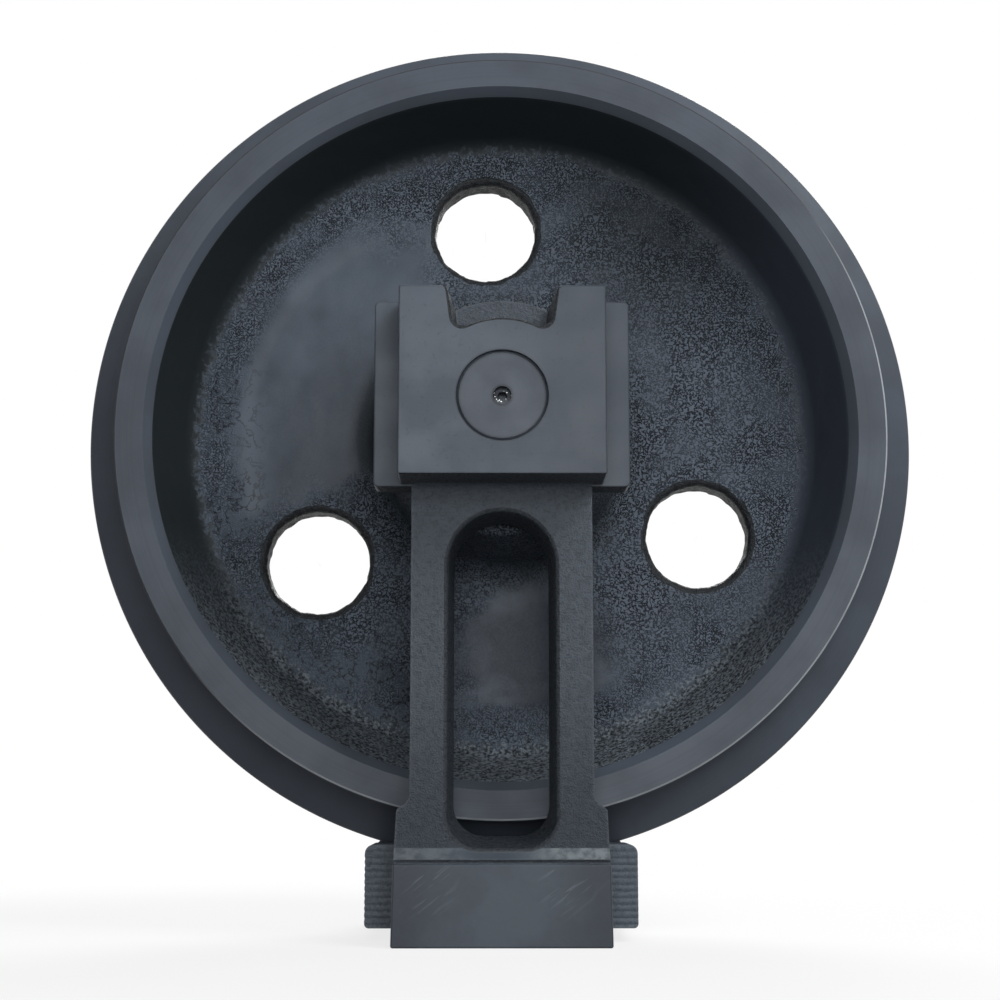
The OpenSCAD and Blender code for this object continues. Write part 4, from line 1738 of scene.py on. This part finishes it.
@dataclass
class Crossbar:
    """The bar between the arms, with sawn ribs on its ends and the seat for the track adjuster below."""

    half_w: float = 75.75
    end: float = 79.0
    low: float = 7.5
    top: float = 53.0
    round_top: float = 5.0
    round_low: float = 2.5
    room_r: float = 262.0
    room_half: float = 36.0
    corner_steps: int = 5
    rib_pitch: float = 3.6
    rib_strips: int = 6
    rib_depth: float = 0.7
    side_rib_depth: float = 0.3
    rib_reach: float = 26.0
    end_strip: float = 0.4
    right_share: float = 0.18
    jitter_middle: float = 0.8
    jitter_spread: float = 1.1
    jitter_pitch: float = 5.0
    pad_r: float = 68.5
    pad_low: float = 5.5
    pad_sink: float = 2.0
    pad_edge: float = 0.6
    pad_steps: int = 128
    room_steps: int = 360
    pilot_r: float = 20.0
    pilot_depth: float = 12.0
    pilot_steps: int = 64
    bolt_circle_r: float = 55.0
    bolt_r: float = 7.0
    bolt_depth: float = 20.0
    bolt_count: int = 4
    bolt_steps: int = 40

    def bar(self) -> BMesh:
        """Makes the bar with its ribbed ends.

        Returns:
            The solid.
        """
        bm = bmesh.new()
        corners = [(-self.half_w, self.low), (self.half_w, self.low), (self.half_w, self.top),
                   (-self.half_w, self.top)]
        verts = [bm.verts.new((across, self.end, up)) for across, up in corners]
        bm.faces.new(verts)
        for vert, rounding in zip(verts, (self.round_low, self.round_low, self.round_top, self.round_top)):
            round_corner(bm, vert, rounding, self.corner_steps)
        grown = bmesh.ops.extrude_face_region(bm, geom=list(bm.faces))["geom"]
        bmesh.ops.translate(bm, verts=[g for g in grown if isinstance(g, BMVert)], vec=(0, -2 * self.end, 0))
        bmesh.ops.recalc_face_normals(bm, faces=bm.faces)
        step = self.rib_pitch / self.rib_strips
        for i in range(1, int((self.top - self.low) / step)):
            self.slice(bm, (0, 0, self.low + i * step), (0, 0, 1))
        for place in (self.end - self.end_strip, self.end - self.rib_reach):
            self.slice(bm, (0, place, 0), (0, 1, 0))
            self.slice(bm, (0, -place, 0), (0, 1, 0))
        self.rib(bm)
        return bm

    @staticmethod
    def slice(bm: BMesh, point: Place, normal: Place) -> None:
        """Divides a solid's faces along a plane."""
        geom = bm.verts[:] + bm.edges[:] + bm.faces[:]
        bmesh.ops.bisect_plane(bm, geom=geom, dist=MERGE, plane_co=point, plane_no=normal)

    def rib(self, bm: BMesh) -> None:
        """Sinks the grooves between the ribs, deep on the left end and faint on the right.

        Args:
            bm: The bar, divided into strips.
        """
        for vert in bm.verts:
            wave = (HALF - HALF * math.cos(math.tau * (vert.co.z - self.low) / self.rib_pitch)) ** 2
            spread = noise.noise(Vector((0, vert.co.y, vert.co.z / self.jitter_pitch)))
            jitter = self.jitter_middle + self.jitter_spread * spread
            share = 1.0 if vert.co.x < 0 else self.right_share
            near_end = max(0.0, 1 - (self.end - abs(vert.co.y)) / self.rib_reach)
            if abs(vert.co.y) > self.end - NEAR:
                vert.co.y -= math.copysign(self.rib_depth * wave * jitter * share, vert.co.y)
            if abs(vert.co.x) > self.half_w - NEAR:
                depth = self.side_rib_depth * wave * jitter * share * near_end
                vert.co.x -= math.copysign(depth, vert.co.x)

    def cutters(self) -> list[BMesh]:
        """Makes the cutters of the flange's room, the pilot bore and the tapped holes.

        Returns:
            The cutters.
        """
        room = spun([(CORE_R, -self.room_half, 0), (self.room_r, -self.room_half, 0),
                     (self.room_r, self.room_half, 0), (CORE_R, self.room_half, 0)], self.room_steps)
        pilot = upright_rod((0, 0, self.pad_low), self.pilot_r, 2 * self.pilot_depth, self.pilot_steps)
        cuts = [raise_to_axle(room), pilot]
        for i in range(self.bolt_count):
            angle = math.tau * (i + HALF) / self.bolt_count
            across = self.bolt_circle_r * math.cos(angle)
            along = self.bolt_circle_r * math.sin(angle)
            place = (across, along, self.pad_low)
            cuts.append(upright_rod(place, self.bolt_r, 2 * self.bolt_depth, self.bolt_steps))
        return cuts

    def pad(self) -> BMesh:
        """Makes the round seat pad, with a broken edge.

        Returns:
            The solid.
        """
        height = self.low - self.pad_low + self.pad_sink
        bm = upright_rod((0, 0, self.pad_low + height / 2), self.pad_r, height, self.pad_steps)
        return round_edges(bm, lambda a, b: max(a.z, b.z) < self.pad_low + NEAR, self.pad_edge, 1)

    def build(self, finish: bpy.types.Material) -> bpy.types.Object:
        """Models and dresses the crossbar.

        Args:
            finish: Material of the bar.

        Returns:
            The crossbar.
        """
        piece = loose_object("ribbed_crossbar", self.bar(), [finish])
        carve(piece, [loose_object("pad", self.pad(), [finish])], "UNION")
        carve(piece, [loose_object("cutter", bm, [finish]) for bm in self.cutters()], "DIFFERENCE")
        return finish_piece(piece, Body.YOKE, ["crossbar"])


@dataclass
class WeldBeads:
    """The beads that join one arm to the crossbar, with a weld pool's ripples. Drawn for the rear side."""

    side: Side
    corner: float = 79.0
    bar_low: float = 7.5
    bar_top: float = 53.0
    leg: float = 7.0
    low_leg: float = 6.5
    across: float = 57.0
    beside_slot: float = 30.5
    leg_half: float = 50.0
    ripple: float = 2.4
    ripple_steps: int = 4
    ripple_rise: float = 0.1
    ripple_vary: float = 0.05
    least_steps: int = 8
    fan_steps: int = 7
    trough: float = 0.94
    end_share: float = 0.35
    end_reach: float = 4.0
    bulge: float = 0.62
    crown: float = 0.22
    sharp: float = 60.0

    def bead(self, start: float, end: float, height: float, leg: float, up: float) -> BMesh:
        """Makes one bead by drawing its section along the seam, ripple by ripple.

        Args:
            start: Place of its first end across the bar.
            end: Place of its last end across the bar.
            height: Height of the seam.
            leg: Leg length of the bead.
            up: 1 for a bead above the bar, and -1 for one below it.

        Returns:
            The bead.
        """
        fan = arc((0, 0), 1, 0, 90, self.fan_steps)
        bm = bmesh.new()
        rings: list[list[BMEdge]] = []
        steps = max(self.least_steps, int((end - start) / self.ripple) * self.ripple_steps)
        for i in range(steps + 1):
            across = start + (end - start) * i / steps
            phase = (i % self.ripple_steps) / self.ripple_steps
            inside = min(across - start, end - across) / self.end_reach
            taper = min(1.0, self.end_share + (1 - self.end_share) * inside)
            swell = self.trough + self.ripple_rise * math.sin(math.pi * phase)
            size = leg * taper * (swell + self.ripple_vary * noise.noise(Vector((across, up, 0))))
            points = [(0.0, 0.0)]
            for along, rise in fan:
                over = along + rise - 1
                flat = self.bulge + (1 - self.bulge) * over / (math.sqrt(2) - 1)
                reach = size / (along + rise) * (1 + self.crown * flat * over)
                points.append((along * reach, rise * reach))
            verts = [bm.verts.new((across, self.corner - a, height + up * r)) for a, r in points]
            rings.append([bm.edges.new((verts[k - 1], verts[k])) for k in range(len(verts))])
        for near, far in zip(rings, rings[1:]):
            bmesh.ops.bridge_loops(bm, edges=near + far)
        for cap in (rings[0], rings[-1]):
            bmesh.ops.contextual_create(bm, geom=cap)
        bmesh.ops.recalc_face_normals(bm, faces=bm.faces)
        return bm

    def build(self, finish: bpy.types.Material) -> bpy.types.Object:
        """Models and dresses the beads.

        Args:
            finish: Material of the beads.

        Returns:
            The three beads as one piece.
        """
        name = f"{self.side.name.lower()}_weld_beads"
        beads = [self.bead(-self.across, self.across, self.bar_low, self.low_leg, -1),
                 self.bead(self.beside_slot, self.leg_half, self.bar_top, self.leg, 1),
                 self.bead(-self.leg_half, -self.beside_slot, self.bar_top, self.leg, 1)]
        whole = gathered(beads)
        if self.side is Side.FRONT:
            bmesh.ops.scale(whole, verts=whole.verts, vec=(1, -1, 1))
            bmesh.ops.recalc_face_normals(whole, faces=whole.faces)
        piece = loose_object(f"rippled_{name}", whole, [finish])
        return finish_piece(piece, Body.YOKE, [name], self.sharp)


@dataclass
class InnerPieces:
    """The turned, ground and moulded pieces, which keep their solids."""

    finishes: dict[str, bpy.types.Material] = field(default_factory=dict)

    def make_finishes(self) -> None:
        """Makes one finish for each of the record's slots that these pieces use."""
        # Dark steel with painted glints.
        plug = BareMetal("plug_dark_steel", slate(34, 36, 39), slate(18, 19, 21), roughness=0.24, glint_share=0.4)
        lapped = BareMetal("seal_lapped_iron", slate(168, 170, 172), slate(132, 134, 137), roughness=0.25)
        self.finishes = {
            # Painted shade: the near-black edge ring stands for the shaded gap round the shaft's end.
            "shaft_steel": TurnedPaint("shaft_end_paint", clean=slate(82, 89, 99), edge=slate(12, 13, 16),
                                       edge_share=1.0, edge_reach=0.003, rings=1300.0).make(),
            "pin_steel": BareMetal("pin_ground_steel", slate(196, 198, 200), slate(168, 170, 173)).make(),
            "plug_steel": plug.make(),
            "washer_brass": BareMetal("washer_copper", slate(205, 142, 104), slate(170, 112, 80)).make(),
            "bush_bronze": BareMetal("bush_bronze", slate(196, 158, 92), slate(164, 128, 72)).make(),
            "seal_iron": lapped.make(),
            "seal_rubber": SealRubber("seal_rubber").make(),
        }

    def dress(self, packed: dict) -> None:
        """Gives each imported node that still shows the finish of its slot.

        Args:
            packed: The loaded frame.
        """
        self.make_finishes()
        for part in packed["record"]["subparts"]:
            finish = self.finishes.get(part["material_slot"])
            if finish is None:
                continue
            node = packed["nodes"][part["node"]]
            for slot in node.material_slots:
                slot.link = "OBJECT"
                slot.material = finish
            LOG.info("%s: %s", part["node"], finish.name)


@dataclass(frozen=True)
class Lamp:
    """A square soft lamp that points at the wheel, with its place and side in metres and power in watts."""

    name: str
    place: Place
    size: float
    power: float

    def hang(self) -> None:
        """Adds the lamp to the scene."""
        data = bpy.data.lights.new(self.name, "AREA")
        data.size = self.size
        data.energy = self.power
        lamp = bpy.data.objects.new(self.name, data)
        lamp.location = self.place
        aim = Vector((0, 0, AXLE_H * MM)) - Vector(self.place)
        lamp.rotation_euler = aim.to_track_quat("-Z", "Y").to_euler()
        bpy.context.scene.collection.objects.link(lamp)


@dataclass
class Studio:
    """A white floor and backdrop under soft light, and the camera where the photograph was taken."""

    camera_place: Place = (-0.0085, -1.13714, 0.0837)
    pitch: float = 9.06
    yaw: float = 0.42
    lens: float = 67.445
    shift_up: float = -0.01025
    clip_start: float = 0.02
    white: Colour = (0.9, 0.9, 0.9, 1.0)
    dim: Colour = (0.04, 0.04, 0.04, 1.0)
    fibres: Mottle = Mottle(900.0, 3.0, 0.3, 0.7, 0.8, 0.95)
    shadow_share: float = 0.22
    stage_r: float = 4.5
    stage_h: float = 5.0
    stage_steps: int = 64
    shadow_range: Range = (0.3, 0.7)
    sky: float = 0.12
    lamps: tuple[Lamp, ...] = (
        Lamp("key_lamp", (0.1, -1.8, 0.44), 0.9, 17),
        Lamp("top_lamp", (1.0, -0.95, 1.4), 0.9, 19),
        Lamp("left_lamp", (-1.8, -1.6, 0.9), 1.2, 1.5),
        Lamp("back_lamp", (0.3, 2.2, 1.7), 1.3, 62),
    )

    def add_camera(self) -> None:
        """Places the camera and makes it the scene's own."""
        data = bpy.data.cameras.new("photo_camera")
        data.lens = self.lens
        data.shift_y = self.shift_up
        data.clip_start = self.clip_start
        camera = bpy.data.objects.new("photo_camera", data)
        camera.location = self.camera_place
        camera.rotation_euler = (math.radians(90 + self.pitch), 0, math.radians(-self.yaw))
        bpy.context.scene.collection.objects.link(camera)
        bpy.context.scene.camera = camera

    def paper(self, name: str, shaded: float) -> bpy.types.Material:
        """Makes white paper that throws little light back at the part.

        Args:
            name: Name of the material.
            shaded: Share of the light and shadow on it that shows.

        Returns:
            The material.
        """
        graph = Graph(name)
        rays = graph.add("ShaderNodeLightPath")
        tone = graph.blend(rays.outputs["Is Diffuse Ray"], self.white, self.dim)
        graph.finish(tone, self.fibres.lay(graph))
        mirrored = graph.sum("MAXIMUM", rays.outputs["Is Glossy Ray"], rays.outputs["Is Transmission Ray"])
        seen = graph.sum("MAXIMUM", rays.outputs["Is Camera Ray"], mirrored)
        away = graph.apart(graph.place, (0.0, 0.0, 0.0))
        plain = graph.step(away, *self.shadow_range, 1 - shaded, 1.0)
        glow = graph.add("ShaderNodeEmission")
        mixer = graph.add("ShaderNodeMixShader")
        graph.feed(mixer.inputs[0], graph.times(seen, plain))
        graph.feed(mixer.inputs[1], graph.shader.outputs[0])
        graph.feed(mixer.inputs[2], glow.outputs[0])
        graph.feed(graph.tree.nodes["Material Output"].inputs["Surface"], mixer.outputs[0])
        return graph.material

    def add_stage(self) -> None:
        """Lays the floor and stands a ring of paper round it as the backdrop."""
        floor = bmesh.new()
        bmesh.ops.create_circle(floor, cap_ends=True, segments=self.stage_steps, radius=self.stage_r)
        wall = bmesh.new()
        bmesh.ops.create_cone(wall, cap_ends=False, segments=self.stage_steps, radius1=self.stage_r,
                              radius2=self.stage_r, depth=self.stage_h)
        bmesh.ops.translate(wall, verts=wall.verts, vec=(0, 0, self.stage_h / 2))
        bmesh.ops.reverse_faces(wall, faces=wall.faces)
        loose_object("paper_floor", floor, [self.paper("floor_paper", self.shadow_share)])
        loose_object("paper_backdrop", wall, [self.paper("backdrop_paper", 0.0)])

    def light_world(self) -> None:
        """Sets a dim even sky that the camera sees as white."""
        world = bpy.data.worlds.new("studio_sky")
        bpy.context.scene.world = world
        world.use_nodes = True
        tree = world.node_tree
        rays = tree.nodes.new("ShaderNodeLightPath")
        choose = tree.nodes.new("ShaderNodeMapRange")
        choose.inputs["To Min"].default_value = self.sky
        choose.inputs["To Max"].default_value = 1.0
        mirrored = tree.nodes.new("ShaderNodeMath")
        mirrored.operation = "MAXIMUM"
        tree.links.new(rays.outputs["Is Glossy Ray"], mirrored.inputs[0])
        tree.links.new(rays.outputs["Is Transmission Ray"], mirrored.inputs[1])
        seen = tree.nodes.new("ShaderNodeMath")
        seen.operation = "MAXIMUM"
        tree.links.new(rays.outputs["Is Camera Ray"], seen.inputs[0])
        tree.links.new(mirrored.outputs[0], seen.inputs[1])
        tree.links.new(seen.outputs[0], choose.inputs["Value"])
        tree.links.new(choose.outputs["Result"], tree.nodes["Background"].inputs["Strength"])
        tree.nodes["Background"].inputs["Color"].default_value = (1, 1, 1, 1)

    def build(self) -> None:
        """Sets up the camera, the stage and the light."""
        self.add_camera()
        self.add_stage()
        self.light_world()
        for lamp in self.lamps:
            lamp.hang()
        bpy.context.scene.view_settings.view_transform = "Standard"


def main() -> None:
    """Builds the wheel, the yoke, the finishes of the inner pieces and the studio."""
    logging.basicConfig(level=logging.INFO, format="%(name)s %(message)s")
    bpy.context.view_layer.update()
    IdlerWheel().build()
    arm_finishes = [
        MilledPaint("guide_milled_paint").make(),
        # The leg gets painted shade towards its foot.
        CastPaint("leg_cast_paint", dark_tone_and_shade=0.6).make(),
        ScratchedPaint("foot_scuffed_paint").make(),
        # The ledge gets worn paint and painted light, stronger on its right.
        ScratchedPaint("ledge_worn_and_lit_paint", worn_and_lit_left=0.5, worn_and_lit_right=1.0).make(),
        # Painted shade on the notch's walls and the undersides.
        CastPaint("notch_underside_shade_paint", high=slate(40, 44, 49), low=slate(22, 25, 28), wear=0.0).make(),
        # Painted shade on the slot's inner walls.
        CastPaint("slot_wall_shade_paint", high=slate(46, 51, 57), low=slate(28, 31, 35), wear=0.5).make(),
    ]
    for side in Side:
        SlottedArm(side).build(arm_finishes)
    bar_paint = CastPaint("bar_sawn_paint", strength=0.25, high=slate(78, 86, 95), low=slate(64, 71, 79))
    Crossbar().build(bar_paint.make())
    bead_finish = CastPaint("bead_paint", strength=0.25).make()
    for side in Side:
        WeldBeads(side).build(bead_finish)
    InnerPieces().dress(frame)
    Studio().build()


if __name__ == "__main__":
    main()
